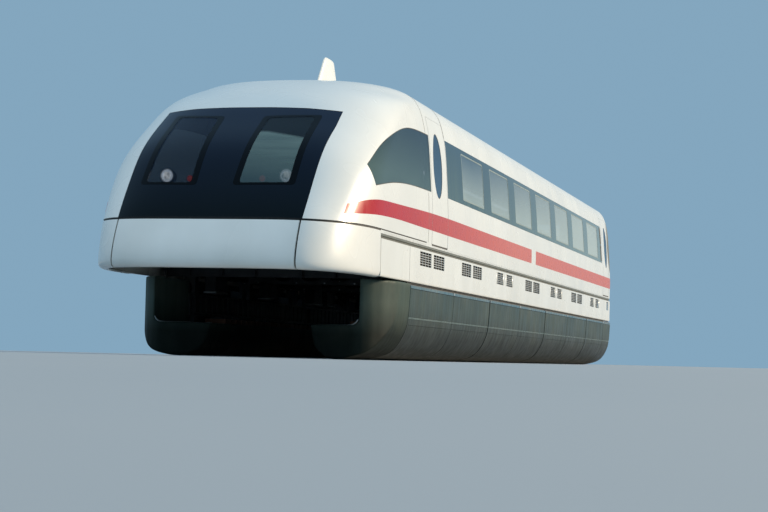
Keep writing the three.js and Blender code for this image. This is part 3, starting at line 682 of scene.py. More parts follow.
# Near-black sheet behind the grilles: painted shade.
INTAKE_SHADE = grained("intake_black", "060606", "0a0a0a", 40, 0.85)
GUTTER = grained("gutter_olive", "4a4a3a", "3c3d32", 30, 0.5, coat=0.1)
GUTTER_LIGHT = grained("gutter_lip_grey", "6d6d5e", "5c5c50", 30, 0.4, coat=0.2)
STEEL = grained("chassis_steel_grey", "4b4f50", "3b3f41", 26, 0.45, 0.35, 0.0008)
IRON = grained("magnet_iron_black", "17191a", "232526", 40, 0.5, 0.3, 0.0012)
FRAME_STEEL = grained("frame_steel_black", "1e2022", "2a2c2e", 30, 0.5, 0.3)
ALUMINIUM = grained("bare_aluminium", "9aa0a3", "b3b8ba", 20, 0.28, 0.9, 0.0003)
COIL = grained("coil_copper_brown", "5a3826", "6c4530", 50, 0.45, 0.5)
DESK = grained("desk_black_plastic", "16181a", "1f2123", 120, 0.55)
GREY_PANEL = grained("panel_grey", "9b9e9b", "878a88", 12, 0.5)
RUBBER = grained("bellows_rubber_black", "141516", "1c1d1f", 70, 0.65, height=0.001)
FABRIC = woven("seat_blue_cloth", "33507a", "27405f")
CARPET = woven("carpet_grey_blue", "4a525c", "3b424b", 90.0)
LAMP = {"white": glowing("lamp_white_glow", "dfeaf6", "c2d3e4", 0.95),
        "red": glowing("lamp_red_glow", "b8402c", "98301f", 0.6)}
# The white lamps' mirrored hearts glow as lamp light, in sky-blue and white patches that are painted glints.
LAMP_HEART_WITH_GLINTS = glowing("lamp_heart_mirrored", "23384a", "eef6fb", 1.2, 13.0)
stage_floor.data.materials.append(grained("stage_pale", "959da3", "969ea4", 3, 0.85, height=0.0))
print(len(bpy.data.materials), "finishes made")

# %% [markdown]
# ## Nose skin
# The upper nose is a moulded shell with a large dark screen in front and a curved window on each side of the cab.
# It is made as a grid of level lines over the formula, thickened, and cut with three prisms. The cut for the
# screen is drawn in front view and those for the windows in side view, where their outlines are simple.

# %% Nose skin
SCREEN_HALF = [(1.238, 1.60), (1.255, 2.05), (1.265, 2.70), (1.268, 3.12), (1.250, 3.372), (0.80, 3.400), (0.30, 3.410)]
SCREEN_OUTLINE = [(-1.238, 1.60)] + SCREEN_HALF + [(-y, z) for y, z in SCREEN_HALF[:0:-1]]
SCREEN_WINDOW = [(0.266, 2.232), (1.033, 2.244), (1.022, 3.272), (0.297, 3.241)]
FRAME_SIDE, FRAME_FOOT = 0.060, 0.012


def cab_window_outline():
    """Side view of the cab window: a long arc over the top, a short front edge and a square rear edge."""
    arc_z = spline([8.30, 9.02, 9.89, 10.70, 11.36, 11.88], [3.412, 3.399, 3.327, 3.136, 2.885, 2.600])
    sill_z = spline([8.30, 9.62, 10.90, 11.72], [2.546, 2.525, 2.440, 2.330])
    over = [(x, float(arc_z(x))) for x in np.linspace(11.88, 8.30, 26)]
    return over + [(x, float(sill_z(x))) for x in np.linspace(8.30, 11.72, 16)]


def grown(outline, distance):
    """An outline moved outwards, or inwards where the distance is negative."""
    points = np.array(outline, float)
    turn = np.sum(points[:, 0] * np.roll(points[:, 1], -1) - np.roll(points[:, 0], -1) * points[:, 1])
    after, before = np.roll(points, -1, 0) - points, points - np.roll(points, 1, 0)
    after /= np.linalg.norm(after, axis=1, keepdims=True)
    before /= np.linalg.norm(before, axis=1, keepdims=True)
    out = np.stack([after[:, 1] + before[:, 1], -after[:, 0] - before[:, 0]], 1) * np.sign(turn)
    length = np.maximum(np.sum(out * out, axis=1, keepdims=True) / 2, 0.6)
    return [tuple(p) for p in points + out / length * distance]


def even_heights(low, high, rows):
    return CROWN - np.linspace(float(root_depth(low)), float(root_depth(high)), rows) ** 2


def nose_grid(low, high, rear_x, rows, columns):
    return np.stack([level_line(z, rear_x, columns) for z in even_heights(low, high, rows)])


def cutter(outline, side):
    """An outline in side view drawn through one side of the car, or one in front view through the nose."""
    return prism(outline, "x", 10.6, 14.0) if side == FRONT else prism(outline, "y", side * 0.9, side * 2.4)


def cut_out(piece, side, outline, holes=()):
    """Leaves only what lies inside the outline, and cuts the holes out of that."""
    carve(piece, [cutter(outline, side)], "INTERSECT")
    return carve(piece, [cutter(hole, side) for hole in holes]) if holes else piece


NOSE_FOOT, NOSE_SHEET, FRONT = NOSE_SEAM_Z + 0.008, 0.045, 0
CAB_WINDOW = cab_window_outline()
nose_skin = formed_shell("nose_skin", nose_grid(NOSE_FOOT, CROWN, NOSE_SEAM_X, 62, 170), 0.0, NOSE_SHEET)
carve(nose_skin, [cutter(SCREEN_OUTLINE, FRONT), cutter(CAB_WINDOW, 1), cutter(CAB_WINDOW, -1)])
shine(nose_skin, WHITE, LINING)
tie(nose_skin, ("nose_shell",))
print("nose skin", len(nose_skin.data.polygons), "faces")

# %% [markdown]
# ## Screen and its windows
# The dark screen is one glossy moulding that follows the nose, with two panes let into it. Each pane has a black
# rubber edge that the photograph shows as a thin frame. All of them are slices of the same formula, cut in
# front view, so their surfaces run on into the white skin without a step.

# %% Screen and windows
front_grid = nose_grid(NOSE_FOOT, 3.55, 10.6, 56, 120)


def front_slice(name, outline, holes, outer, inner, material, lining=None):
    return shine(cut_out(formed_shell(name, front_grid, outer, inner), FRONT, outline, holes), material, lining)


def window_outline(side, grow, frame_side=0.0, frame_foot=0.0):
    """The window's edge in front view, moved out by a distance, or in by a frame that is wider at its sides."""
    (y0, z0), (y1, z1), (y2, z2), (y3, z3) = SCREEN_WINDOW
    corners = [(y0 + frame_side, z0 + frame_foot), (y1 - frame_side, z1 + frame_foot),
               (y2 - frame_side, z2 - frame_foot), (y3 + frame_side, z3 - frame_foot)]
    outline = rounded(grown(corners, grow), 0.05)
    return [(side * y, z) for y, z in (outline if side > 0 else reversed(outline))]


screen_panel = front_slice("screen_moulding", grown(SCREEN_OUTLINE, -0.006),
                           [window_outline(s, 0.021) for _, s in SIDES], 0.001, 0.040, SCREEN, DESK)
tie(screen_panel, ("windscreen_panel",))
for name, side in SIDES:
    edge = front_slice(f"screen_window_edge_{name}", window_outline(side, 0.020),
                       [window_outline(side, 0.0, FRAME_SIDE, FRAME_FOOT)], -0.001, 0.042, FRAME_BLACK)
    tie(edge)
    pane = front_slice(f"screen_pane_{name}", window_outline(side, -0.001, FRAME_SIDE, FRAME_FOOT), [], 0.002, 0.012,
                       SCREEN_PANE[name])
    tie(pane, (f"windscreen_glass_{name}",))

# %% [markdown]
# ## Cab side windows
# A single bent pane on each side runs from the cab door to the nose, flush with the paint. It is the same kind of
# slice, this time cut in side view from a grid that reaches behind the nose's seam.

# %% Cab side windows
side_grid = nose_grid(2.25, 3.50, 8.0, 40, 150)
for name, side in SIDES:
    pane = cut_out(formed_shell(f"cab_pane_{name}", side_grid, 0.002, 0.014), side, grown(CAB_WINDOW, -0.010))
    tie(shine(pane, CAB_PANE), (f"cab_window_{name}",))
    seal = formed_shell(f"cab_pane_seal_{name}", side_grid, 0.003, 0.030)
    cut_out(seal, side, CAB_WINDOW, [grown(CAB_WINDOW, -0.009)])
    tie(shine(seal, SEAL))
print("cab panes made")

# %% [markdown]
# ## Saloon walls, doors and roof
# Behind the nose the body is one section drawn out along the car. A wall is the same formula at any station, so
# a straight grid with few columns will do. The plug doors shut flush: each leaf is the piece that its own
# opening would lose, made a few millimetres smaller all round, with a dark rubber seal behind the gap.

# %% Doors, windows and wall slices
Door = namedtuple("Door", "name front rear middle half low high")
DOORS = [Door("front", 8.250, 7.090, 7.745, 0.315, 2.49, 3.49),
         Door("rear", -11.990, -13.090, -12.610, 0.250, 2.47, 3.50)]
DOOR_SILL, DOOR_TOP, WALL_FOOT, WALL_TOP = 1.755, 3.70, 1.711, 3.767
WALL, LEAF = 0.09, 0.05
BAND = {"rear": -11.830, "front": 7.065, "low": 2.557, "high": 3.470}
PANES = {"count": 7, "front": 5.830, "pitch": 2.515, "width": 1.840, "low": 2.630, "high": 3.400}


def wall_shell(name, side, rear, front, low, high, outer, inner, rows=34, columns=9):
    """A slice of one wall between two stations, two heights and two depths below its skin."""
    stations = np.linspace(rear, front, columns)
    grid = [[(x, side * float(side_y(x, z)), z) for x in stations] for z in even_heights(low, high, rows)]
    return formed_shell(name, np.array(grid), outer, inner)


def rectangle(rear, front, low, high):
    return [(rear, low), (front, low), (front, high), (rear, high)]


def lens(door, grow=0.0):
    """The door's window: a tall oval."""
    across, up = door.half + grow, (door.high - door.low) / 2 + grow
    return [(door.middle + across * u, (door.low + door.high) / 2 + up * v) for u, v in circle(1.0, 36)]


def pane_outline(index, grow=0.0):
    front = PANES["front"] - index * PANES["pitch"]
    corners = rectangle(front - PANES["width"] - grow, front + grow, PANES["low"] - grow, PANES["high"] + grow)
    return rounded(corners, 0.045)


# %% Walls and doors
def door_pieces(door, name, side):
    """A door's leaf, pane, seal and pane edge, each a slice at its own depth."""
    tag = f"{door.name}_{name}"
    whole, glazed = (side, door.rear, door.front, WALL_FOOT, WALL_TOP), (side, door.rear, door.front, 2.3, 3.66)
    leaf = wall_shell(f"door_leaf_{tag}", *whole, 0.0, LEAF, 34, 5)
    gap = rectangle(door.rear + 0.016, door.front - 0.012, DOOR_SILL + 0.010, DOOR_TOP - 0.003)
    cut_out(leaf, side, rounded(gap, 0.03), [lens(door)])
    tie(shine(leaf, WHITE, LINING), (f"door_{tag}",))
    glass = wall_shell(f"door_pane_{tag}", *glazed, 0.004, 0.012, 24, 5)
    tie(shine(cut_out(glass, side, lens(door, -0.012)), DOOR_PANE), (f"door_glass_{tag}",))
    seal = wall_shell(f"door_seal_{tag}", side, door.rear - 0.02, door.front + 0.02, WALL_FOOT, WALL_TOP, 0.004, 0.045,
                      34, 5)
    cut_out(seal, side, rectangle(door.rear - 0.001, door.front + 0.001, DOOR_SILL - 0.001, DOOR_TOP + 0.001),
            [rectangle(door.rear + 0.018, door.front - 0.014, DOOR_SILL + 0.014, DOOR_TOP - 0.012)])
    tie(shine(seal, SEAL))
    edge = wall_shell(f"door_pane_edge_{tag}", *glazed, 0.002, 0.03, 24, 5)
    tie(shine(cut_out(edge, side, lens(door, -0.001), [lens(door, -0.011)]), SEAL))


for name, side in SIDES:
    wall = wall_shell(f"saloon_wall_{name}", side, BODY_REAR, NOSE_SEAM_X - 0.004, WALL_FOOT, WALL_TOP, 0.0, WALL)
    openings = [rectangle(door.rear, door.front, DOOR_SILL, DOOR_TOP) for door in DOORS]
    openings += [rectangle(*BAND.values()), CAB_WINDOW]
    carve(wall, [cutter(opening, side) for opening in openings])
    tie(shine(wall, WHITE, LINING), (f"side_wall_{name}",))
    for door in DOORS:
        door_pieces(door, name, side)
print("walls and doors made")

# %% [markdown]
# ## Window band
# From outside the windows read as one dark glass band, flush with the wall. Seven lighter panes sit between darker
# posts. The band is a thin slice of the wall with seven rounded holes, and the panes are thinner slices behind
# it. A blackout strip with two dark segments closes the band at its rear.

# %% Window band
def pane_slices(name, side, outer, inner, grow, hole=None):
    """The same slice at each of the seven panes, whole or with a hole that leaves a rim."""
    pieces = []
    for i in range(PANES["count"]):
        front = PANES["front"] - i * PANES["pitch"]
        piece = wall_shell("slice", side, front - PANES["width"] - 0.03, front + 0.03, 2.58, 3.45, outer, inner, 20, 3)
        pieces.append(cut_out(piece, side, pane_outline(i, grow), [pane_outline(i, hole)] if hole else []))
    return joined(name, pieces)


for name, side in SIDES:
    band = wall_shell(f"band_glass_{name}", side, *BAND.values(), 0.0005, 0.030, 22)
    edge = rectangle(BAND["rear"] + 0.003, BAND["front"] - 0.003, BAND["low"] + 0.003, BAND["high"] - 0.003)
    cut_out(band, side, edge, [pane_outline(i) for i in range(PANES["count"])])
    tie(shine(band, BAND_GLASS), (f"window_band_{name}",))
    tie(shine(pane_slices(f"saloon_panes_{name}", side, 0.004, 0.012, -0.002), PANE))
    tie(shine(pane_slices(f"pane_rims_{name}", side, 0.0015, 0.020, -0.001, -0.022), PANE_RIM))
    strips = [wall_shell("strip", side, BAND["rear"] + 0.05, BAND["rear"] + 0.21, low, high, -0.003, 0.004, 12, 2)
              for low, high in ((2.60, 2.99), (3.02, 3.43))]
    tie(shine(joined(f"band_rear_strip_{name}", strips), SEAL))
print("window bands made")

# %% [markdown]
# ## Roof and its seams
# The roof is the upper part of the section, from wall to wall. Where the real roof panels meet there are thin
# caulked lines, one behind the cab door and one where the nose begins. Each is a slim dark strip of the same
# arch, so the same helper makes it.

# %% Roof
def section_line(low, count, offset):
    """Points of the whole section from the left wall over the crown to the right wall: y, z."""
    heights = even_heights(low, CROWN, count)
    y = side_y(0.0, heights)
    y[-1] = 0.0
    half = np.stack([y, heights], 1)
    whole = np.vstack([half, half[::-1][1:] * [-1, 1]])
    points = np.column_stack([np.zeros(len(whole)), whole])
    return (points + skin_normals(points) * offset)[:, 1:]


def arch(name, rear, front, low, outer, inner, columns):
    lines = [section_line(low, 40, -depth) for depth in (outer, inner)]
    grids = [np.stack([np.column_stack([np.full(len(line), x), line]) for x in np.linspace(rear, front, columns)], 1)
             for line in lines]
    return shell_between(name, *grids)


roof = arch("roof_skin", BODY_REAR, NOSE_SEAM_X - 0.004, WALL_TOP + 0.0005, 0.0, WALL, 6)
tie(shine(roof, WHITE, LINING), ("roof",))
seams = joined("roof_seam_lines", [arch("seam", x - half, x + half, low, -0.0012, 0.004, 2)
                                   for x, half, low in ((7.090, 0.011, 3.50), (NOSE_SEAM_X, 0.006, 3.42))])
tie(shine(seams, SEAL))

# %% [markdown]
# ## Red stripe
# The stripe is paint, so it has no thickness to speak of. It is made as a film less than a millimetre proud of the
# skin, in the lengths that the doors part, with a bare gap amidships. On the nose it narrows, sinks and
# ends on a slant, so its two edges are splines through measured points.

# %% Red stripe
STRIPE_LOW, STRIPE_HIGH, STRIPE_BENDS = 1.965, 2.233, 7.0
STRIPE_SPANS = [(-13.34, -13.094), (-13.083, -11.997), (-11.986, -1.43), (-0.91, 7.086), (7.097, 8.243)]
stripe_top = spline([7.0, 8.2, 9.3, 10.9, 12.1, 12.55], [2.233, 2.224, 2.206, 2.172, 2.100, 2.019])
stripe_foot = spline([7.0, 8.2, 9.3, 10.5, 11.6, 12.4, 12.662], [1.965, 1.967, 1.968, 1.967, 1.943, 1.901, 1.882])


def film(name, side, low_line, high_line, rows=6, proud=0.0008):
    """A thin skin between two lines of points x, z on one side of the car."""
    grid = np.empty((rows, len(low_line), 3))
    for r, share in enumerate(np.linspace(0, 1, rows)):
        line = (1 - share) * np.array(low_line) + share * np.array(high_line)
        grid[r] = np.column_stack([line[:, 0], side * side_y(line[:, 0], line[:, 1]), line[:, 1]])
    return formed_shell(name, grid, -proud, 0.002)


def stripe_piece(side, rear, front):
    stations = np.linspace(rear, front, max(2, int((front - rear) / 0.5) + 2))
    edge = lambda curve, flat: [(x, float(curve(x)) if x > STRIPE_BENDS else flat) for x in stations]
    return film("stripe", side, edge(stripe_foot, STRIPE_LOW), edge(stripe_top, STRIPE_HIGH))


def nose_stripe(side):
    low_x, high_x = np.linspace(8.257, 12.662, 70), np.linspace(8.257, 12.550, 70)
    return film("stripe", side, np.column_stack([low_x, stripe_foot(low_x)]),
                np.column_stack([high_x, stripe_top(high_x)]))


for name, side in SIDES:
    stripe = joined(f"red_stripe_{name}", [stripe_piece(side, *span) for span in STRIPE_SPANS] + [nose_stripe(side)])
    tie(shine(stripe, RED))
print("stripe made")

# %% [markdown]
# ## Repeats and sweeps with geometry nodes
# Bars, brackets, bolts and coils repeat at an even step, so one small tree puts a copy of a piece on each point of
# a mesh of points. Seals, gutters and rails follow a line, so a second tree draws a section along a path. Both
# trees take their inputs by name, and end as real mesh with the finish set.

# %% Geometry node trees
def new_tree(name, mesh_input, object_input):
    """An empty tree that takes a mesh, an object and a finish by name."""
    tree = bpy.data.node_groups.new(name, "GeometryNodeTree")
    tree.interface.new_socket(name="Geometry", in_out="OUTPUT", socket_type="NodeSocketGeometry")
    for socket, kind in ((mesh_input, "Geometry"), (object_input, "Object"), ("Material", "Material")):
        tree.interface.new_socket(name=socket, in_out="INPUT", socket_type="NodeSocket" + kind)
    add = tree.nodes.new
    return tree, add("NodeGroupInput"), add("NodeGroupOutput"), add, tree.links.new


def finish_tree(add, link, source, outlet, shape, shade_smooth):
    """Makes the copies real, shades them and sets the finish."""
    real, shade = add("GeometryNodeRealizeInstances"), add("GeometryNodeSetShadeSmooth")
    dress = add("GeometryNodeSetMaterial")
    shade.inputs["Shade Smooth"].default_value = shade_smooth
    link(shape, real.inputs["Geometry"])
    link(real.outputs["Geometry"], shade.inputs["Geometry"])
    link(shade.outputs["Geometry"], dress.inputs["Geometry"])
    link(source.outputs["Material"], dress.inputs["Material"])
    link(dress.outputs["Geometry"], outlet.inputs["Geometry"])


def repeat_tree():
    """A copy of the pattern on every vertex of the carrying mesh."""
    tree, source, outlet, add, link = new_tree("repeat_on_points", "Points", "Pattern")
    pattern, place = add("GeometryNodeObjectInfo"), add("GeometryNodeInstanceOnPoints")
    link(source.outputs["Pattern"], pattern.inputs["Object"])
    link(source.outputs["Points"], place.inputs["Points"])
    link(pattern.outputs["Geometry"], place.inputs["Instance"])
    finish_tree(add, link, source, outlet, place.outputs["Instances"], False)
    return tree


def sweep_tree():
    """A closed section drawn along the edges of the carrying mesh."""
    tree, source, outlet, add, link = new_tree("sweep_along_path", "Path", "Section")
    path, outline = add("GeometryNodeMeshToCurve"), add("GeometryNodeMeshToCurve")
    section, draw = add("GeometryNodeObjectInfo"), add("GeometryNodeCurveToMesh")
    draw.inputs["Fill Caps"].default_value = True
    link(source.outputs["Section"], section.inputs["Object"])
    link(section.outputs["Geometry"], outline.inputs["Mesh"])
    link(source.outputs["Path"], path.inputs["Mesh"])
    link(path.outputs["Curve"], draw.inputs["Curve"])
    link(outline.outputs["Curve"], draw.inputs["Profile Curve"])
    finish_tree(add, link, source, outlet, draw.outputs["Mesh"], True)
    return tree


REPEAT, SWEEP = repeat_tree(), sweep_tree()


def grow_from(tree, carrier, second, helper, material):
    """Runs a tree on a carrying object and gives back plain mesh."""
    modifier = carrier.modifiers.new("grow", "NODES")
    modifier.node_group = tree
    sockets = {item.name: item.identifier for item in tree.interface.items_tree if item.in_out == "INPUT"}
    modifier[sockets[second]] = helper
    modifier[sockets["Material"]] = material
    dressed(plain(carrier), material)
    bpy.data.objects.remove(helper)
    carrier.data.polygons.foreach_set("material_index", np.zeros(len(carrier.data.polygons), np.int32))
    return carrier


def repeated(name, points, pattern, material):
    mesh = bpy.data.meshes.new(name)
    mesh.from_pydata([tuple(map(float, p)) for p in points], [], [])
    return grow_from(REPEAT, new_object(name, mesh), "Pattern", pattern, material)


def swept(name, paths, section, material, angle=35):
    """Draws a section, given as points across and up, along open paths. The caps are closed."""
    points, edges, count = [], [], len(section)
    for path in paths:
        edges += [(len(points) + i, len(points) + i + 1) for i in range(len(path) - 1)]
        points += [tuple(map(float, p)) for p in path]
    mesh, ring = bpy.data.meshes.new(name), bpy.data.meshes.new("section")
    mesh.from_pydata(points, edges, [])
    ring.from_pydata([(float(u), float(v), 0.0) for u, v in section], [(i, (i + 1) % count) for i in range(count)], [])
    thing = grow_from(SWEEP, new_object(name, mesh), "Section", new_object("section", ring), material)
    with opened(thing.data) as work:
        bmesh.ops.remove_doubles(work, verts=work.verts, dist=1e-5)
        bmesh.ops.recalc_face_normals(work, faces=work.faces)
    return soften(thing, angle)


def many_blocks(name, boxes, material, bevel=0.0, steps=1):
    """Closed blocks in one mesh, with their edges rounded where a bevel is given."""
    points, faces = [], []
    for box in boxes:
        some, sides = block(*box)
        faces += [tuple(len(points) + i for i in side) for side in sides]
        points += some
    thing = solid(name, points, faces, merge=0.0)
    if bevel:
        with opened(thing.data) as work:
            bmesh.ops.bevel(work, geom=work.edges[:], offset=bevel, segments=steps, profile=0.6, affect="EDGES")
    return dressed(soften(thing, 35), material)


def fitted(name, things, material, replaced=(), body="car_body"):
    """Joins things into one piece, dresses it and ties it."""
    piece = dressed(joined(name, things), material)
    tie(piece, replaced, body)
    return piece


print("two node trees ready")

# %% [markdown]
# ## Lower nose: cheeks and flap
# Below the dark seam the nose is a fixed cheek on each side and a wide flap between them that covers the
# coupling. Their lower edge curls under. The grids of level lines are cut at the seams before they are meshed,
# so the curl is part of the grid and no cut disturbs the gloss.

# %% Cheeks and flap
CHEEK_SEAM_X, FLAP_EDGE, FLAP_GAP = 11.460, 1.227, 0.011
HINGE_X, HINGE_Z, ARM_Y, ARM_EYE = 13.12, 1.21, 0.8, 0.030
# Rows of the skin: height, and how far the lower edge has curled in.
CURL = [(z, 0.0) for z in (1.745, 1.70, 1.63, 1.56, 1.49, 1.42, 1.35, 1.28, 1.225)]
CURL += [(1.190, 0.0015), (1.165, 0.006), (1.145, 0.014), (1.131, 0.026), (1.122, 0.042), (1.117, 0.062),
         (1.115, 0.085), (1.116, 0.105)]
CHIN_FOOT, CHIN_SHEET = 1.12, 0.030


def chin_line(z, inset, low_y, high_y, count):
    """A level line of the lower nose between two widths, or to the rear seam where the width is None."""
    line = level_line(max(z, CHIN_FOOT), CHEEK_SEAM_X + 0.003, 1400, chin_form, inset)
    along = way_along(line)
    turn = np.argmax(line[:, 1] >= line[:, 1].max() - 1e-6)
    start = np.argmin(line[:, 1] > line[:, 1].min() + 1e-6)
    at = lambda y: np.interp(y, line[start:turn + 1, 1], along[start:turn + 1])
    stations = np.linspace(at(low_y), along[-1] if high_y is None else at(high_y), count)
    return np.stack([np.interp(stations, along, line[:, 0]), np.interp(stations, along, line[:, 1]),
                     np.full(count, z)], 1)


def chin_piece(name, low_y, high_y, count):
    """A sheet that follows the rows. Its inner face lies above the curl, so the lip is a closed hem."""
    inner_rows = [(max(z, 1.135) if inset > 0.05 else z + min(inset, 0.02), CHIN_SHEET + 0.8 * inset)
                  for z, inset in CURL]
    sheets = [np.stack([chin_line(z, inset, low_y, high_y, count) for z, inset in rows]) for rows in (CURL, inner_rows)]
    return soften(shell_between(name, *sheets), 40)


flap = chin_piece("flap_skin", -FLAP_EDGE + FLAP_GAP, FLAP_EDGE - FLAP_GAP, 90)
lugs = []
for _, side in SIDES:
    middle = side * ARM_Y
    turn = [(HINGE_X + ARM_EYE * math.cos(t), HINGE_Z + ARM_EYE * math.sin(t))
            for t in np.linspace(math.pi / 2, 3 * math.pi / 2, 9)]
    lug = prism(turn + [(HINGE_X + 0.44, 1.175), (HINGE_X + 0.45, 1.245)], "y", middle - 0.038, middle + 0.038)
    bore = prism([(HINGE_X + u, HINGE_Z + v) for u, v in circle(0.0162, 24)], "y", middle - 0.06, middle + 0.06)
    lugs.append(soften(carve(lug, [bore])))
fitted("flap_skin", [flap] + lugs, WHITE, ("nose_flap",), "nose_flap")
for name, side in SIDES:
    cheek = chin_piece(f"cheek_skin_{name}", FLAP_EDGE + FLAP_GAP, None, 60)
    if side < 0:
        cheek.data.transform(Matrix.Scale(-1, 4, (0, 1, 0)))
        cheek.data.flip_normals()
    tie(dressed(cheek, WHITE), (f"nose_cheek_{name}",))
    sill = wall_shell(f"nose_sill_{name}", side, CHEEK_SEAM_X, NOSE_SEAM_X + 0.0002, WALL_FOOT, 1.757, 0.0, LEAF, 4, 14)
    tie(shine(sill, WHITE))
    lip = wall_shell(f"nose_seam_{name}", side, 8.60, NOSE_SEAM_X + 0.0002, 1.7575, 1.7745, 0.0, LEAF, 3, 3)
    tie(shine(lip, WHITE))
seam_path = level_line(1.764, 8.605, 260, inset=0.020)
seam_section = [(-0.010, -0.018), (0.010, -0.018), (0.010, 0.016), (-0.010, 0.016)]
tie(swept("nose_seam_seal", [seam_path], seam_section, SEAL))
print("lower nose made")

# %% [markdown]
# ## White skirts with air grilles
# The skirts are flat painted panels below a dark gutter. Each bay has a pair of air intakes with a punched grid of
# thin bars. One grid is made from a bar across and a bar up, each repeated, and then put on every opening.

# %% Skirts and grilles
GRILLE = {"rows": 7, "first": 8.190, "pitch": 3.096, "half": 0.082, "width": 0.775, "low": 1.400, "high": 1.610}
NARROW_BAYS, NARROWED, BAR = (2, 4, 6), 0.11, 0.008
SKIRT_JOINT = 9.720
SKIRT_SECTION = [(1.8500, 1.6420), (1.8500, 1.1620), (1.8488, 1.1480), (1.8450, 1.1370), (1.8385, 1.1310),
                 (1.8300, 1.1300), (1.8000, 1.1300), (1.8000, 1.1420), (1.8290, 1.1420), (1.8350, 1.1480),
                 (1.8370, 1.1620), (1.8370, 1.6280), (1.8000, 1.6280), (1.8000, 1.6420)]


def intakes():
    """Each opening as rear, front and whether it is one of the narrow ones."""
    near, far = GRILLE["half"], GRILLE["half"] + GRILLE["width"]
    rows = [(-13.040, -12.680, True)]
    for i in range(GRILLE["rows"]):
        middle = GRILLE["first"] - i * GRILLE["pitch"]
        rows += [(middle + a, middle + b, i in NARROW_BAYS) for a, b in ((near, far), (-far, -near))]
    return rows


def bar_grid(side, rear, front, columns, rows):
    """The bars of one opening, each a thin rounded block."""
    low, high, y0, y1, half = GRILLE["low"], GRILLE["high"], side * 1.8405, side * 1.8485, BAR / 2
    upright = many_blocks("upright", [(-half, half, y0, y1, low - 0.006, high + 0.006)], WHITE, 0.002)
    across = many_blocks("across", [(rear - 0.006, front + 0.006, y0 + side * 0.001, y1 - side * 0.001, -half, half)],
                         WHITE, 0.002)
    xs, zs = np.linspace(rear, front, columns + 1)[1:-1], np.linspace(low, high, rows + 1)[1:-1]
    return [repeated("uprights", [(x, 0, 0) for x in xs], upright, WHITE),
            repeated("acrosses", [(0, 0, z) for z in zs], across, WHITE)]


def skirt_panel(side, rear, front):
    """One length of skirt with its openings cut out."""
    panel = prism([(side * y, z) for y, z in SKIRT_SECTION], "x", rear, front)
    cuts = [rectangle(a, b, GRILLE["low"], GRILLE["high"]) for a, b, _ in intakes() if a > rear and b < front]
    return carve(panel, [prism(rounded(cut, 0.012), "y", side * 1.81, side * 1.90) for cut in cuts])


for name, side in SIDES:
    spans = ((BODY_REAR, SKIRT_JOINT - 0.007), (SKIRT_JOINT + 0.007, CHEEK_SEAM_X - 0.003))
    skirt = soften(joined(f"skirt_panel_{name}", [skirt_panel(side, *span) for span in spans]), 30)
    tie(dressed(skirt, WHITE), (f"skirt_{name}",))
    bars, backs = [], []
    for rear, front, narrow in intakes():
        wide = front - rear > 0.5
        inset = NARROWED if narrow and wide else 0.0
        if inset:
            for a, b in ((rear, rear + inset), (front - inset, front)):
                bars.append(many_blocks("edge", [(a - 0.004, b + 0.004, side * 1.8400, side * 1.8470, 1.396, 1.614)],
                                        WHITE))
        bars += bar_grid(side, rear + inset, front - inset, 4 if wide else 2, 6)
        # Behind each opening a near-black sheet stands for the dark inside of the intake: painted shade.
        backs.append((rear - 0.03, front + 0.03, side * 1.798, side * 1.806, 1.37, 1.627))
    fitted(f"grille_bars_{name}", bars, WHITE)
    tie(many_blocks(f"grille_backs_{name}", backs, INTAKE_SHADE))
print("skirts and", 2 * len(intakes()), "grilles made")

# %% [markdown]
# ## Gutter, sills and seams
# Between skirt and wall runs a deep channel that carries rain water past the doors: an olive extrusion with a
# lighter upper lip, each a section drawn out along the car. Thin rubbing strips lie on the wall just above
# it. Doors have a black sill, and every panel joint is a thin dark line.

# %% Gutter and rubbing strips
CHANNEL = [(1.7960, 1.6440), (1.8340, 1.6440), (1.8340, 1.6500), (1.8150, 1.6560), (1.8150, 1.6760), (1.7960, 1.6760)]
GUTTER_LIP = [(1.7960, 1.6765), (1.8170, 1.6765), (1.8290, 1.6800),
              (1.8350, 1.6860), (1.8370, 1.7085), (1.7960, 1.7085)]
RUBBING_SPANS = ((BODY_REAR + 0.01, -0.92), (-0.90, 8.20), (8.62, 11.30))


def strip(name, side, rear, front, low, high, count=2):
    """A level film between two heights."""
    xs = np.linspace(rear, front, count)
    return film(name, side, [(x, low) for x in xs], [(x, high) for x in xs], 2)


def upright_seam(side, x, low, high):
    """It stands prouder than the stripe, which it crosses."""
    rear, front = x - 0.005, x + 0.005
    return film("seam", side, [(rear, low), (front, low)], [(rear, high), (front, high)], 14, 0.0016)


def gutter(name, side):
    for part, outline, material in (("gutter_channel", CHANNEL, GUTTER), ("gutter_lip", GUTTER_LIP, GUTTER_LIGHT)):
        piece = prism([(side * y, z) for y, z in outline], "x", BODY_REAR + 0.001, CHEEK_SEAM_X - 0.004)
        fitted(f"{part}_{name}", [soften(piece, 25)], material)
    lines = [strip("line", side, rear, front, z, z + tall, 12) for z, tall in ((1.722, 0.0022), (1.737, 0.0018))
             for rear, front in RUBBING_SPANS]
    tie(shine(joined(f"rubbing_lines_{name}", lines), SEAM_GREY))


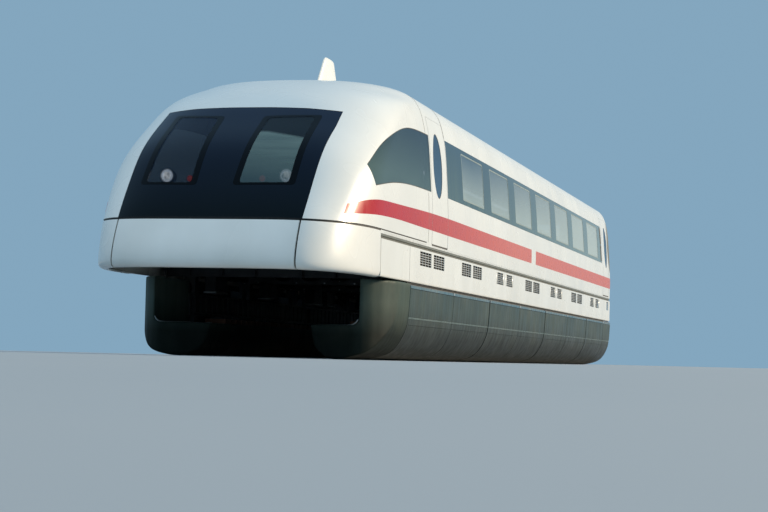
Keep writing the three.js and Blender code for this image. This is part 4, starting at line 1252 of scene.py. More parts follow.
# %% Sills and seams
def sills_and_seams(name, side):
    sills = [strip("sill", side, door.rear + 0.006, door.front - 0.006, DOOR_SILL - 0.014, DOOR_SILL + 0.012)
             for door in DOORS]
    tie(shine(joined(f"door_sills_{name}", sills), SEAL))
    seams = [upright_seam(side, NOSE_SEAM_X, 1.776, 2.515), upright_seam(side, NOSE_SEAM_X, 3.425, 3.765)]
    tie(shine(joined(f"wall_seams_{name}", seams), SEAM_GREY))
    foot = [(BODY_REAR + 0.01, SKIRT_JOINT - 0.007, side * 1.803, side * 1.815, 1.1125, 1.1305)]
    tie(many_blocks(f"skirt_lip_{name}", foot, RUBBER))
    joints = [(SKIRT_JOINT - 0.0075, SKIRT_JOINT + 0.0075, side * 1.838, side * 1.8485, 1.14, 1.64),
              (CHEEK_SEAM_X - 0.0035, CHEEK_SEAM_X + 0.0035, side * 1.815, side * 1.838, 1.15, 1.757)]
    tie(many_blocks(f"skirt_joint_{name}", joints, SEAL))


# %% Painted recess shade at the rear end
RECESS_LOW, RECESS_TALL, RECESS_DEEP, RECESS_POINTS = 2.38, 1.30, 0.34, 24


def painted_recess_shade(name, side):
    """An olive half-oval film behind the rear edge of the wall, flat on the skin: the painted shade of a recess."""
    heights = np.linspace(RECESS_LOW, RECESS_LOW + RECESS_TALL, RECESS_POINTS)
    bulge = RECESS_DEEP * np.clip(np.sin(np.pi * (heights - RECESS_LOW) / RECESS_TALL), 0.0, 1.0) ** 0.75
    recess = film(f"end_recess_{name}", side, np.column_stack([BODY_REAR + 0.003 + bulge, heights]),
                  np.column_stack([np.full(RECESS_POINTS, BODY_REAR + 0.002), heights]), 4)
    tie(shine(recess, GUTTER))


for name, side in SIDES:
    gutter(name, side)
    sills_and_seams(name, side)
    painted_recess_shade(name, side)
print("gutter and seams made")

# %% [markdown]
# ## Dark lower covers
# Each chassis carries two cover panels a side. A panel is rolled sheet: a pale rail at the top, an upper field, a
# pair of bright hinge strips, then a lower field that curls round the bottom to the arm's inner end. The rolled
# line is a smooth curve through the section's points, so a panel is that curve drawn out between two seams.

# %% Cover section
LOWER_SIDE = [(1.862, 1.110), (1.870, 1.060), (1.864, 0.940), (1.849, 0.679), (1.827, 0.502), (1.780, 0.377),
              (1.726, 0.267), (1.651, 0.167), (1.549, 0.089), (1.414, 0.044), (1.220, 0.000), (1.040, 0.000),
              (0.930, 0.060), (0.810, 0.146), (0.760, 0.300), (0.730, 0.470)]
COVER_START, COVER_PITCH, COVER_GAP = 9.720, 3.096, 0.024
Chassis = namedtuple("Chassis", "tag front rear")
CHASSIS = [Chassis("1", 9.720, 3.528), Chassis("2", 3.528, -2.664), Chassis("3", -2.664, -8.856),
           Chassis("4", -8.856, -13.340)]


def smooth_section():
    """The rolled line as y and z, with its corners rounded, from the top edge to the arm's inner end."""
    corners = np.array(LOWER_SIDE)
    points = [a + (b - a) * t for a, b in zip(corners, corners[1:]) for t in np.linspace(0, 1, 9)[:-1]]
    points = np.array(points + [corners[-1]])
    for _ in range(10):
        points[1:-1] = 0.25 * points[:-2] + 0.5 * points[1:-1] + 0.25 * points[2:]
    points[:, 1] = np.maximum(points[:, 1], 0.0)
    return points


COVER_LINE = smooth_section()
cover_slope = np.gradient(COVER_LINE, axis=0)
cover_slope /= np.linalg.norm(cover_slope, axis=1, keepdims=True)
COVER_OUT = np.column_stack([-cover_slope[:, 1], cover_slope[:, 0]])


def cut_line(high, low):
    """The part of the rolled line between two heights on its outer side, and its outward directions."""
    bottom = int(np.argmin(COVER_LINE[:, 1] + (COVER_LINE[:, 0] < 1.2) * 9))
    outer = COVER_LINE[:bottom + 1]
    place = lambda z: np.interp(-z, -outer[:, 1], np.arange(len(outer)))
    first, last = place(high), len(COVER_LINE) - 1 if low is None else place(low)
    index = np.linspace(first, last, max(3, int((last - first) / 1.6)))
    line, out = (np.column_stack([np.interp(index, np.arange(len(COVER_LINE)), column) for column in values.T])
                 for values in (COVER_LINE, COVER_OUT))
    return line, out / np.linalg.norm(out, axis=1, keepdims=True)


SHEET, TURNED_IN, FLOOR_ROOM = 0.010, 0.004, 0.0005


def rolled(name, side, stations, high, low, proud, sheet=SHEET):
    """A strip of sheet along the rolled line, with its two end edges turned in a little."""
    line, out = cut_line(high, low)
    outer, inner = np.empty((len(line), len(stations), 3)), np.empty((len(line), len(stations), 3))
    for c, x in enumerate(stations):
        face = line + out * (proud - (TURNED_IN if c in (0, len(stations) - 1) else 0.0))
        face[:, 1] = np.maximum(face[:, 1], FLOOR_ROOM)
        back = line - out * sheet
        for grid, (y, z) in ((outer, face.T), (inner, back.T)):
            grid[:, c] = np.column_stack([np.full(len(line), x), side * y, z])
    return soften(shell_between(name, outer, inner), 34)


def cover_bays(chassis):
    """The two panels of a chassis, from front to rear. The last chassis is the short one."""
    start = chassis.front if chassis.tag == "1" else chassis.front - COVER_GAP
    stop = chassis.rear if chassis.tag == "4" else chassis.rear + COVER_GAP
    return [(start, chassis.front - COVER_PITCH), (chassis.front - COVER_PITCH, stop)]


# %% Covers
# The strips of a panel: top and foot on the rolled line, and how far they stand proud.
PANEL_STRIPS = [(1.032, 0.628, 0.0), (0.596, 0.512, -0.001), (0.508, None, 0.0)]
RAIL_STRIPS = [(1.080, 1.040, 0.002)]
HINGE_STRIPS = [(0.624, 0.612, 0.003), (0.609, 0.600, 0.001)]


def cover_strips(side, bays, strips):
    pieces = []
    for front, rear in bays:
        a, b = rear + 0.007, front - (0.022 if front == COVER_START else 0.007)
        stations = [a, a + TURNED_IN, b - TURNED_IN, b]
        pieces += [rolled("strip", side, stations, high, low, proud) for high, low, proud in strips]
    return pieces


for chassis in CHASSIS:
    bays, body = cover_bays(chassis), f"chassis_{chassis.tag}"
    for name, side in SIDES:
        tag = f"{name}_{chassis.tag}"
        panels = cover_strips(side, bays, PANEL_STRIPS)
        fitted(f"rolled_cover_{tag}", panels, COVER, (f"cover_{tag}",), body)
        fitted(f"cover_rail_{tag}", cover_strips(side, bays, RAIL_STRIPS), COVER_RAIL, body=body)
        fitted(f"cover_hinge_{tag}", cover_strips(side, bays, HINGE_STRIPS), HINGE_STRIP, body=body)
        brackets = [(x - 0.035, x + (0.035 if i else -0.010), side * 1.868, side * 1.876, 1.042, 1.082)
                    for i, (x, _) in enumerate(bays) if i or chassis.tag != "1"]
        tie(many_blocks(f"rail_brackets_{tag}", brackets, ALUMINIUM, 0.003), body=body)
        stations = np.linspace(bays[-1][1] + 0.012, bays[0][0] - 0.012, 3)
        backing = rolled("backing", side, stations, 1.100, None, -0.012, 0.024)
        fitted(f"cover_backing_{tag}", [backing], FRAME_STEEL, body=body)
print("covers made")

# %% [markdown]
# ## Cowls at the front
# The front end of each dark side is one moulded cowl, rounded in plan and underneath. It is easiest as a block of
# the rolled section, cut to its plan, then remeshed in small cubes and relaxed so that every edge turns into an
# even radius. A last cut makes the rear face flat where the first cover meets it.

# %% Cowls
COWL_PLAN = [(9.30, 0.560), (10.75, 0.560), (10.96, 0.800), (11.12, 1.120), (11.175, 1.330), (11.185, 1.400),
             (11.135, 1.500), (11.020, 1.620), (10.800, 1.752), (10.400, 1.862), (9.30, 1.930)]


def modified(thing, kind, **settings):
    modifier = thing.modifiers.new(kind.lower(), kind)
    for key, value in settings.items():
        setattr(modifier, key, value)
    return plain(thing)


def cowl_body(side):
    section = [tuple(p) for p in COVER_LINE[::2]]
    section += [(0.730, 0.470), (1.380, 0.470), (1.425, 0.476), (1.458, 0.500), (1.478, 0.540), (1.480, 0.600),
                (1.480, 1.110)]
    raw = prism([(side * y, z) for y, z in section], "x", 9.40, 11.40)
    plan = rounded(COWL_PLAN, 0.10, 4)
    carve(raw, [prism([(x, side * y) for x, y in plan], "z", -0.2, 1.4)], "INTERSECT")
    modified(raw, "REMESH", mode="VOXEL", voxel_size=0.015, use_smooth_shade=True)
    modified(raw, "SMOOTH", factor=0.5, iterations=14)
    return raw


for name, side in SIDES:
    cowl = cowl_body(side)
    cowl.name = cowl.data.name = f"cowl_moulding_{name}"
    room = rectangle(COVER_START + 0.0005, 11.6, side * 0.3, side * 2.2)
    carve(cowl, [prism(room, "z", FLOOR_ROOM, 1.1095)], "INTERSECT")
    dressed(soften(cowl, 40), COWL)
    tie(cowl, (f"nose_cowl_{name}",), body="chassis_1")
    # A bright aluminium strip along the rounded top edge of the arm stands for that edge's highlight: painted
    # highlight.
    highlight_path = [(10.755, side * 0.76, 0.466), (10.93, side * 0.95, 0.466), (11.075, side * 1.15, 0.466),
                (11.140, side * 1.33, 0.466), (11.155, side * 1.395, 0.474), (11.148, side * 1.445, 0.500),
                (11.137, side * 1.468, 0.545)]
    lip = swept(f"cowl_lip_{name}", [resampled(highlight_path, 24)], circle(0.008, 8), ALUMINIUM)
    tie(lip, body="chassis_1")

# %% [markdown]
# ## Levitation chassis
# A chassis is a row of box frames. Each reaches across, down at both sides and inwards again below, and long
# beams tie them together. Each frame is one closed outline drawn out by its thickness, with weight-saving holes
# cut through it. The lower line is the cover's own rolled line, moved inwards to leave room for the sheet.

# %% Chassis frames
STATIONS = {"1": (9.296, 6.624, 3.952), "2": (3.104, 0.432, -2.240), "3": (-3.088, -5.760, -8.432),
            "4": (-9.280, -11.098, -12.000)}
FRAME_TOP, BEAM_FOOT, ARM_TOP, PLATE = 1.380, 1.185, 0.410, 0.140
SPRING_Y, FLOOR_BOTTOM = 1.240, 1.600
# Sections drawn out along the car, as y and z.
BEAM = [(1.53, 1.20), (1.66, 1.20), (1.66, 1.222), (1.555, 1.222), (1.555, 1.338), (1.66, 1.338), (1.66, 1.36),
        (1.53, 1.36)]
UPSTAND, GUIDE_BACK = rectangle(1.688, 1.700, 1.05, 1.132), rectangle(1.475, 1.512, 0.60, 0.92)
# Holes of a frame: y, z and their half sizes.
FRAME_HOLES = [(0.0, 1.283, 0.16, 0.052), (0.48, 1.283, 0.15, 0.052), (0.94, 1.283, 0.13, 0.052),
               (1.60, 1.00, 0.040, 0.10), (1.62, 0.62, 0.045, 0.12), (1.20, 0.215, 0.16, 0.10),
               (1.50, 0.27, 0.07, 0.09)]


def frame_outline():
    hook = COVER_LINE - COVER_OUT * 0.034
    half = [(1.56, FRAME_TOP), (1.675, 1.31), (1.69, 1.25), (1.69, 1.125)]
    half += [tuple(p) for p in hook[::3] if p[1] < 1.09 and (p[0] > 1.0 or p[1] < ARM_TOP - 0.01)]
    half += [(0.79, ARM_TOP), (1.42, ARM_TOP), (1.48, 0.43), (1.51, 0.49), (1.51, BEAM_FOOT)]
    return half + [(-y, z) for y, z in reversed(half)]


def frame_plate(x):
    plate = prism(frame_outline(), "x", x - PLATE / 2, x + PLATE / 2)
    holes = [[(side * cy + u * ry, cz + v * rz) for u, v in circle(1.0, 20)]
             for cy, cz, ry, rz in FRAME_HOLES for _, side in (SIDES if cy else SIDES[:1])]
    return soften(carve(plate, [prism(hole, "x", x - 0.2, x + 0.2) for hole in holes]), 30)


def lathe(profile, x, y, steps=24):
    """A closed turned piece about an upright axis, from radius and height pairs."""
    points = [(x + radius * u, y + radius * v, z) for radius, z in profile for u, v in circle(1.0, steps)]
    faces = [(r + i, r + (i + 1) % steps, r + steps + (i + 1) % steps, r + steps + i)
             for r in range(0, steps * (len(profile) - 1), steps) for i in range(steps)]
    faces += [tuple(range(steps)), tuple(range(steps * (len(profile) - 1), steps * len(profile)))]
    return solid("turned", points, faces, merge=1e-6)


def air_spring(x, y, radius=0.13):
    folds = [(radius * 0.80, FRAME_TOP - 0.015), (radius * 0.80, FRAME_TOP + 0.012)]
    for k in range(3):
        base = FRAME_TOP + 0.018 + k * 0.058
        folds += [(radius * (0.86 + 0.20 * math.sin(math.pi * t)), base + 0.058 * t) for t in np.linspace(0, 1, 7)]
    folds += [(radius * 0.80, FLOOR_BOTTOM - 0.020), (radius * 0.80, FLOOR_BOTTOM - 0.001)]
    return soften(lathe(folds, x, y), 50)


for tag, front, rear in CHASSIS:
    body, places = f"chassis_{tag}", STATIONS[tag]
    frame_parts = [frame_plate(x) for x in places]
    frame_parts += [soften(prism([(side * y, z) for y, z in section], "x", rear + 0.054, front - 0.054), 30)
                    for _, side in SIDES for section in (BEAM, UPSTAND, GUIDE_BACK)]
    fitted(f"frame_plates_{tag}", frame_parts, STEEL, (f"levitation_frame_{tag}",), body)
    springs = [air_spring(x, side * SPRING_Y) for x in (places[0], places[2]) for _, side in SIDES]
    springs.append(air_spring(places[1], 0.0, 0.15))
    fitted(f"air_springs_{tag}", springs, RUBBER, body=body)
    shoes = [(x - 0.26, x + 0.26, side * 1.12, side * 1.29, 0.952, 1.188) for x in places for _, side in SIDES]
    soles = [(x - 0.285, x + 0.285, side * 1.105, side * 1.305, 0.925, 0.955) for x in places for _, side in SIDES]
    tie(many_blocks(f"skid_feet_{tag}", shoes, FRAME_STEEL, 0.012), body=body)
    tie(many_blocks(f"skid_soles_{tag}", soles, ALUMINIUM, 0.008), body=body)
print("chassis frames made")

# %% [markdown]
# ## Magnets
# The lift magnets sit on the lower arms and pull upwards. The guidance magnets face inwards from the uprights. A
# magnet is an iron back with a row of poles, each wound with a coil. Poles repeat at 258 mm, so one pole and one
# coil are drawn and the node tree puts them on a row of points.

# %% Magnets
POLE_STEP, MAGNET_END = 0.258, 0.044


def ring_block(sx, sy, sz, wall):
    """A rounded frame round a pole: an outline with a hole, closed on all sides, drawn about the origin."""
    outer = rounded(rectangle(-sx, sx, -sy, sy), 0.03, 4)
    hole = rounded(rectangle(wall - sx, sx - wall, wall - sy, sy - wall), 0.015, 4)
    return soften(carve(prism(outer, "z", -sz, sz), [prism(hole, "z", -2 * sz, 2 * sz)]), 30)


def pole_stations(rear, front):
    count = int((front - rear) / POLE_STEP)
    start = (rear + front) / 2 - (count - 1) * POLE_STEP / 2
    return [start + i * POLE_STEP for i in range(count)]


def pole_block(sx, sy, low, high, bevel, steps=1):
    return many_blocks("pole", [(-sx, sx, -sy, sy, low, high)], IRON, bevel, steps)


for tag, front, rear in CHASSIS:
    body, x0, x1 = f"chassis_{tag}", rear + MAGNET_END, front - MAGNET_END
    stations = pole_stations(x0, x1)
    for name, side in SIDES:
        y = side * 1.110
        back = [(x0, x1, side * 0.925, side * 1.295, ARM_TOP + 0.001, 0.462)]
        tie(many_blocks(f"lift_magnet_back_{name}_{tag}", back, IRON, 0.006),
            (f"lift_magnet_{name}_{tag}",), body)
        # Each row: its name, where its pieces stand, the piece and its finish.
        for row, places, pattern, material in (
                ("lift_poles", [(x, y, 0.516) for x in stations], pole_block(0.060, 0.090, -0.056, 0.059, 0.006), IRON),
                ("lift_coils", [(x, y, 0.508) for x in stations], ring_block(0.118, 0.165, 0.042, 0.055), COIL),
                ("guide_poles", [(x, side * 1.448, 0.76) for x in stations],
                 pole_block(0.105, 0.026, -0.125, 0.125, 0.010, 2), IRON)):
            tie(repeated(f"{row}_{name}_{tag}", places, pattern, material), body=body)
print("magnets made")

# %% [markdown]
# ## Under the floor
# The floor plate is stiffened with ribs, and carries two equipment boxes with lids, three pairs of pipes and, in the
# nose, a cross beam for the flap. An apron hangs behind the nose, so nothing shines through below the floor. Bolt
# heads sit where plates are screwed on, and a node tree places them.

# %% Ribs and pipes
EQUIPMENT = {"front": (4.300, 6.300), "rear": (-1.950, 0.150)}
RIB_STEP, BOX_LOW = 0.58, 1.425


def clear_of_all(x):
    """Whether a cross rib at this place would miss the springs and the equipment boxes."""
    springs = [place for places in STATIONS.values() for place in places]
    return all(abs(x - s) > 0.42 for s in springs) and all(
        not (low - 0.08 < x < high + 0.08) for low, high in EQUIPMENT.values())


cross_ribs = [x for x in np.arange(-12.9, 12.4, RIB_STEP) if clear_of_all(x)]
ribs = [(x - 0.012, x + 0.012, -1.55, 1.55, 1.545, 1.600) for x in cross_ribs]
ribs += [(x - 0.050, x + 0.050, -1.55, 1.55, 1.540, 1.547) for x in cross_ribs]
ribs += [(-13.20, 11.2, side * y - 0.02, side * y + 0.02, 1.585, 1.600) for _, side in SIDES for y in (0.45, 1.62)]
tie(many_blocks("floor_ribs", ribs, STEEL))
PIPE_SPANS = ((-1.95, -12.2), (0.15, 4.3), (6.3, 9.9))
pipes = [[(x, side * 0.72, 1.505) for x in span] for _, side in SIDES for span in PIPE_SPANS]
tie(swept("floor_pipes", pipes, circle(0.028, 12), ALUMINIUM))


# %% Equipment boxes
def bolt_head(radius, half, along_x=False):
    head = prism([(radius * math.cos(a), radius * math.sin(a)) for a in np.linspace(0, 2 * math.pi, 7)[:-1]], "z",
                 -half, half)
    if along_x:
        head.data.transform(Matrix.Rotation(math.pi / 2, 4, "Y"))
    return head


for name, (rear, front) in EQUIPMENT.items():
    case = many_blocks(f"equipment_case_{name}", [(rear, front, -1.6, 1.6, BOX_LOW, 1.5995)], GREY_PANEL, 0.015, 2)
    tie(case, (f"equipment_box_{name}",))
    step, lids, heads = (front - rear) / 4, [], []
    for i in range(4):
        a, b = rear + i * step + 0.02, rear + (i + 1) * step - 0.02
        for y0, y1 in ((-1.55, -0.53), (-0.51, 0.51), (0.53, 1.55)):
            lids.append((a, b, y0, y1, BOX_LOW - 0.008, BOX_LOW + 0.001))
            heads += [(x, y, BOX_LOW - 0.009) for x in (a + 0.03, b - 0.03)
                      for y in np.linspace(y0 + 0.04, y1 - 0.04, 4)]
    fins = [(rear + 0.1 + i * 0.05, rear + 0.112 + i * 0.05, side * 1.6, side * 1.612, 1.45, 1.58)
            for i in range(36) for _, side in SIDES]
    tie(many_blocks(f"equipment_lids_{name}", lids, GREY_PANEL, 0.003))
    tie(repeated(f"equipment_bolts_{name}", heads, bolt_head(0.011, 0.004), ALUMINIUM))
    tie(many_blocks(f"equipment_fins_{name}", fins, STEEL))

# %% Apron, curtains and bolts
apron = [(10.02, 10.05, -1.74, 1.74, 1.150, 1.5995)]
apron += [(10.05, 10.11, side * y - 0.012, side * y + 0.012, 1.16, 1.5995) for _, side in SIDES
          for y in (0.35, 0.85, 1.35, 1.70)]
tie(many_blocks("nose_apron", apron, FRAME_STEEL, 0.004))
curtains = [(rear - 0.010, rear + 0.010, -1.74, 1.74, 1.395, 1.5995) for _, _, rear in CHASSIS[:3]]
tie(many_blocks("floor_curtains", curtains, FRAME_STEEL, 0.004))
beam_heads = [(HINGE_X - 0.0995, y, z) for y in (-0.7, -0.6, -0.2, 0.2, 0.6, 0.7) for z in (1.18, 1.26)]
tie(repeated("nose_beam_bolts", beam_heads, bolt_head(0.014, 0.008, True), ALUMINIUM))
FRAME_BOLTS = [(y, z) for y in (1.36, 0.72, 0.25) for z in (1.21, 1.355)]
FRAME_BOLTS += [(1.60, 1.20), (1.60, 1.33), (1.60, 0.82), (1.60, 0.44), (1.35, 0.36), (1.02, 0.36), (0.86, 0.30)]
for tag, places in STATIONS.items():
    heads = [(x + d * (PLATE / 2 + 0.001), side * y, z) for x in places for d in (-1, 1) for _, side in SIDES
             for y, z in FRAME_BOLTS]
    tie(repeated(f"frame_bolts_{tag}", heads, bolt_head(0.015, 0.009, True), ALUMINIUM),
        body=f"chassis_{tag}")


# %% Nodes kept as they are
def dress_nodes(*rows):
    """CAD nodes that are good enough as they are take only a finish. The slot name in each row is not used."""
    for node, material, slot in rows:
        dressed(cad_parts[node], material)


dress_nodes(("floor", GREY_PANEL, "grey_panel"), ("nose_frame", FRAME_STEEL, "frame_steel"))
print("underside made")

# %% [markdown]
# ## Rear end
# A rubber bellows frame stands round the gangway in the end wall, and a drawbar hangs below the floor.
# The folds of the bellows are rounded rings drawn along rounded rectangles. The drawbar ends in a coupling
# plate with a funnel and bolts, which swings with it.

# %% Bellows and drawbar
def gangway_ring(x, grow):
    """A rounded rectangle round the gangway, as a closed path."""
    corners = rectangle(-0.60 - grow, 0.60 + grow, 1.80 - grow, 3.69 + grow)
    ring = [(x, y, z) for y, z in rounded(corners, 0.10, 6)]
    return ring + ring[:1]


folds = [gangway_ring(x, grow) for x in (-13.352, -13.372, -13.391) for grow in (0.040, -0.012)]
tie(swept("bellows_folds", folds, circle(0.0095, 10), RUBBER, 60))
dress_nodes(("gangway_frame", RUBBER, "bellows_rubber"), ("rear_end_wall", GREY_PANEL, "grey_panel"),
            ("coupler_drawbar", STEEL, "chassis_steel"), ("cab_bulkhead", GREY_PANEL, "grey_panel"))
wall_panels = [(-13.345, -13.339, side * 0.80, side * 1.60, low, high) for _, side in SIDES
               for low, high in ((1.80, 2.62), (2.66, 3.48))]
tie(many_blocks("end_wall_panels", wall_panels, GREY_PANEL, 0.002))
steps = [(-13.355, -13.339, side * 0.86, side * 1.30, z, z + 0.030) for _, side in SIDES for z in (1.95, 2.28)]
tie(many_blocks("end_wall_steps", steps, ALUMINIUM, 0.004))


# %% Drawbar's coupling plate
def turned_along_x(profile, x, y, z, steps=24, angle=32):
    """A turned piece about an axis along the car: radius and distance behind the place x."""
    piece = lathe(profile, 0.0, 0.0, steps)
    piece.data.transform(Matrix.Translation((x, y, z)) @ Matrix.Rotation(-math.pi / 2, 4, "Y"))
    return soften(piece, angle)


PLATE_X, BAR_Z = -13.401, 1.495
FUNNEL = [(0.060, 0.0), (0.075, 0.004), (0.075, 0.020), (0.055, 0.030), (0.030, 0.030), (0.025, 0.004)]
CONE = [(0.062, 0.0), (0.060, 0.012), (0.035, 0.075), (0.020, 0.085), (0.004, 0.088)]
guides = [turned_along_x(FUNNEL, PLATE_X, 0.09, BAR_Z), turned_along_x(CONE, PLATE_X, -0.09, BAR_Z)]
fitted("coupling_funnel", guides, ALUMINIUM, body="coupler")
plate_heads = [(PLATE_X + 0.0005, y, z) for y in (-0.16, 0.0, 0.16) for z in (1.43, 1.56)]
tie(repeated("coupling_bolts", plate_heads, bolt_head(0.013, 0.008, True), ALUMINIUM), body="coupler")
bar_ribs = [(-13.10, -12.70, side * 0.070, side * 0.084, 1.45, 1.54) for _, side in SIDES]
tie(many_blocks("drawbar_ribs", bar_ribs, FRAME_STEEL, 0.004), body="coupler")
print("rear end made")

# %% [markdown]
# ## Roof fin
# The aerial fin has a lens-shaped plan, leans in towards its top and ends in a soft crown. It is a stack of lens
# sections whose front and rear move in with height, closed by a rounded cap, on a thin gasket.

# %% Roof fin
FIN_FOOT, FIN_TOP, RING = 4.158, 4.690, 22


def lens_ring(z, front, rear, half):
    """A lens-shaped level ring."""
    return [((front + rear) / 2 + (front - rear) / 2 * u, half * math.copysign(abs(v) ** 0.75, v), z)
            for u, v in circle(1.0, RING)]


def stacked(name, rings, angle):
    """A closed body through level rings, from the lowest to the highest."""
    faces = [(r + i, r + (i + 1) % RING, r + RING + (i + 1) % RING, r + RING + i)
             for r in range(0, RING * (len(rings) - 1), RING) for i in range(RING)]
    faces += [tuple(range(RING)), tuple(range(RING * (len(rings) - 1), RING * len(rings)))]
    return soften(solid(name, [p for ring in rings for p in ring], faces), angle)


def fin_ring(t):
    """The fin's section at a share of its height."""
    crown = max(0.0, (t - 0.90) / 0.10)
    shrink = math.sqrt(max(1 - crown ** 2, 0.02))
    drawn_in = 0.10 * (1 - shrink)
    return lens_ring(FIN_FOOT + (FIN_TOP - FIN_FOOT) * t, 8.37 - 0.44 * t - drawn_in, 7.10 + 0.32 * t + drawn_in,
                     (0.048 - 0.014 * t) * max(shrink, 0.25))


shares = np.concatenate([np.linspace(0, 0.93, 10), 0.93 + 0.07 * np.sin(np.linspace(0.25, math.pi / 2, 6))])
fin = stacked("aerial_fin", [fin_ring(t) for t in shares], 50)
tie(dressed(fin, WHITE), ("roof_fin",))
gasket = stacked("fin_gasket", [lens_ring(4.150, 8.40, 7.07, 0.060), lens_ring(4.166, 8.39, 7.08, 0.055)], 32)
tie(dressed(gasket, SEAM_GREY))
print("fin made")

# %% [markdown]
# ## Seats
# Seats stand in pairs on both sides of the aisle. A cushion is foam under tight cloth, so it is simulated: its
# block is remeshed, blown up a little as cloth, and capped in how far it may swell. Sewn channels are pressed in
# afterwards. One cushion and one back are made, then the node tree puts them on every seat of a side.

# %% Padding helpers
PRESSURE, FRAMES = 4.0, 20


def blown(thing, cap):
    """Cloth pressure over some frames, with each point's way capped."""
    rest = np.array([v.co for v in thing.data.vertices])
    cloth = thing.modifiers.new("stuffing", "CLOTH")
    cloth.settings.use_pressure = True
    cloth.settings.uniform_pressure_force = PRESSURE
    cloth.settings.effector_weights.gravity = 0.0
    cloth.point_cache.frame_start, cloth.point_cache.frame_end = 1, FRAMES
    for step in range(1, FRAMES + 1):
        bpy.context.scene.frame_set(step)
    evaluated = thing.evaluated_get(bpy.context.evaluated_depsgraph_get())
    moved = np.array([v.co for v in evaluated.data.vertices]) - rest
    way = np.linalg.norm(moved, axis=1, keepdims=True)
    thing.modifiers.remove(cloth)
    thing.data.vertices.foreach_set("co", (rest + moved * np.minimum(1.0, cap / np.maximum(way, 1e-9))).ravel())
    bpy.context.scene.frame_set(1)
    return thing


CHANNEL_DEPTH = 0.006


def pad(name, profile, half_width, voxel, cap, channels, faces=None):
    """A stuffed pad from a side profile in x and z. Channels are lines across, given as x and z."""
    thing = prism(rounded(profile, 0.030, 4), "y", -half_width, half_width)
    thing.name = name
    modified(thing, "REMESH", mode="VOXEL", voxel_size=voxel)
    modified(thing, "SMOOTH", factor=0.5, iterations=3)
    blown(thing, cap)
    mesh = thing.data
    points, normals = np.array([v.co for v in mesh.vertices]), np.array([v.normal for v in mesh.vertices])
    for x, z in channels:
        near = np.hypot(points[:, 0] - x, points[:, 2] - z)
        points -= normals * (CHANNEL_DEPTH * np.exp(-(near / (1.6 * voxel)) ** 2))[:, None]
    mesh.vertices.foreach_set("co", points.ravel())
    if faces:
        modified(thing, "DECIMATE", ratio=faces / max(len(thing.data.polygons) * 2, faces))
    return soften(thing, 80)


# %% Seats
SEAT_ROWS, SEAT_FIRST, SEAT_PITCH, SEAT_CELLS, ARM_CELLS = 18, 6.300, 1.000, (0.638, 1.252), (0.338, 0.945, 1.552)
CUSHION = [(-0.012, 2.055), (-0.012, 2.135), (-0.410, 2.125), (-0.430, 2.060)]
BACK = [(-0.432, 2.140), (-0.598, 2.862), (-0.668, 2.850), (-0.520, 2.120)]
SHELL = [(-0.500, 2.045), (-0.676, 2.868), (-0.690, 2.862), (-0.545, 2.045), (-0.520, 2.030)]
VOXEL, SWELL = 0.020, 0.022
cushion = pad("cushion", CUSHION, 0.285, VOXEL, SWELL, [(-0.15, 2.14), (-0.28, 2.135)], faces=220)
backrest = pad("backrest", BACK, 0.280, VOXEL, SWELL, [(-0.47, 2.32), (-0.51, 2.50), (-0.55, 2.68)], faces=300)


def hard_part(*boxes):
    """A moulded part of a seat from boxes that each have their own rounding."""
    return joined("part", [many_blocks("box", [box], DESK, bevel, steps) for box, bevel, steps in boxes])


def seat_side(name, side):
    rows = [SEAT_FIRST - i * SEAT_PITCH for i in range(SEAT_ROWS)]
    cells, arms = ([(x, side * y, 0.0) for x in rows for y in places] for places in (SEAT_CELLS, ARM_CELLS))
    for kind, pattern, replaced, fill in (("cushions", cushion, (f"seats_{name}",), 0.75),
                                          ("backs", backrest, (), 0.7)):
        copy = new_object(kind, pattern.data.copy())
        padding = soften(repeated(f"seat_{kind}_{name}", cells, copy, FABRIC), 80)
        tie(padding, replaced)
    shell = prism(rounded(SHELL, 0.008, 3), "y", -0.290, 0.290)
    tie(repeated(f"seat_shells_{name}", cells, shell, LINING))
    base = hard_part(((-0.440, -0.010, -0.285, 0.285, 2.028, 2.050), 0.006, 1),
                     ((-0.470, -0.250, -0.030, 0.030, 1.717, 2.030), 0.010, 1))
    tie(repeated(f"seat_bases_{name}", cells, base, DESK))
    arm = hard_part(((-0.500, -0.090, -0.020, 0.020, 2.318, 2.345), 0.009, 2),
                    ((-0.520, -0.480, -0.012, 0.012, 2.060, 2.330), 0.005, 1))
    tie(repeated(f"seat_arms_{name}", arms, arm, DESK))


for name, side in SIDES:
    seat_side(name, side)
for thing in (cushion, backrest):
    bpy.data.objects.remove(thing)
print("seats made,", SEAT_ROWS * len(SEAT_CELLS) * 2)

# %% [markdown]
# ## Driver's place
# The driver sits behind a wide desk close to the screen. The desk is a moulded console with a raised board of
# displays, and it carries the train's lamps, which shine through the bottom of the two windows: large white ones
# outside, small red ones inside. A lamp is a turned cup with a bright rim and a bowed lens.

# %% Driver's seat
DRIVER_CUSHION = [(10.52, 2.085), (10.52, 2.195), (10.935, 2.200), (10.935, 2.090)]
DRIVER_BACK = [(10.405, 2.200), (10.315, 2.985), (10.380, 2.990), (10.490, 2.200)]
seat_pad = pad("driver_cushion", DRIVER_CUSHION, 0.245, 0.010, 0.012, [(10.66, 2.20), (10.80, 2.20)])
back_pad = pad("driver_backrest", DRIVER_BACK, 0.240, 0.010, 0.012, [(10.47, 2.40), (10.44, 2.60), (10.41, 2.80)])
for piece, replaced, fill in ((seat_pad, ("driver_seat",), 0.8), (back_pad, (), 0.75)):
    tie(dressed(piece, FABRIC), replaced)
POST = [(0.17, 1.7125), (0.17, 1.740), (0.060, 1.760), (0.055, 2.055), (0.16, 2.075), (0.16, 2.084)]
BACK_SHELL = [(10.300, 2.085), (10.290, 2.30), (10.272, 2.98), (10.298, 2.99), (10.345, 2.30), (10.40, 2.10)]
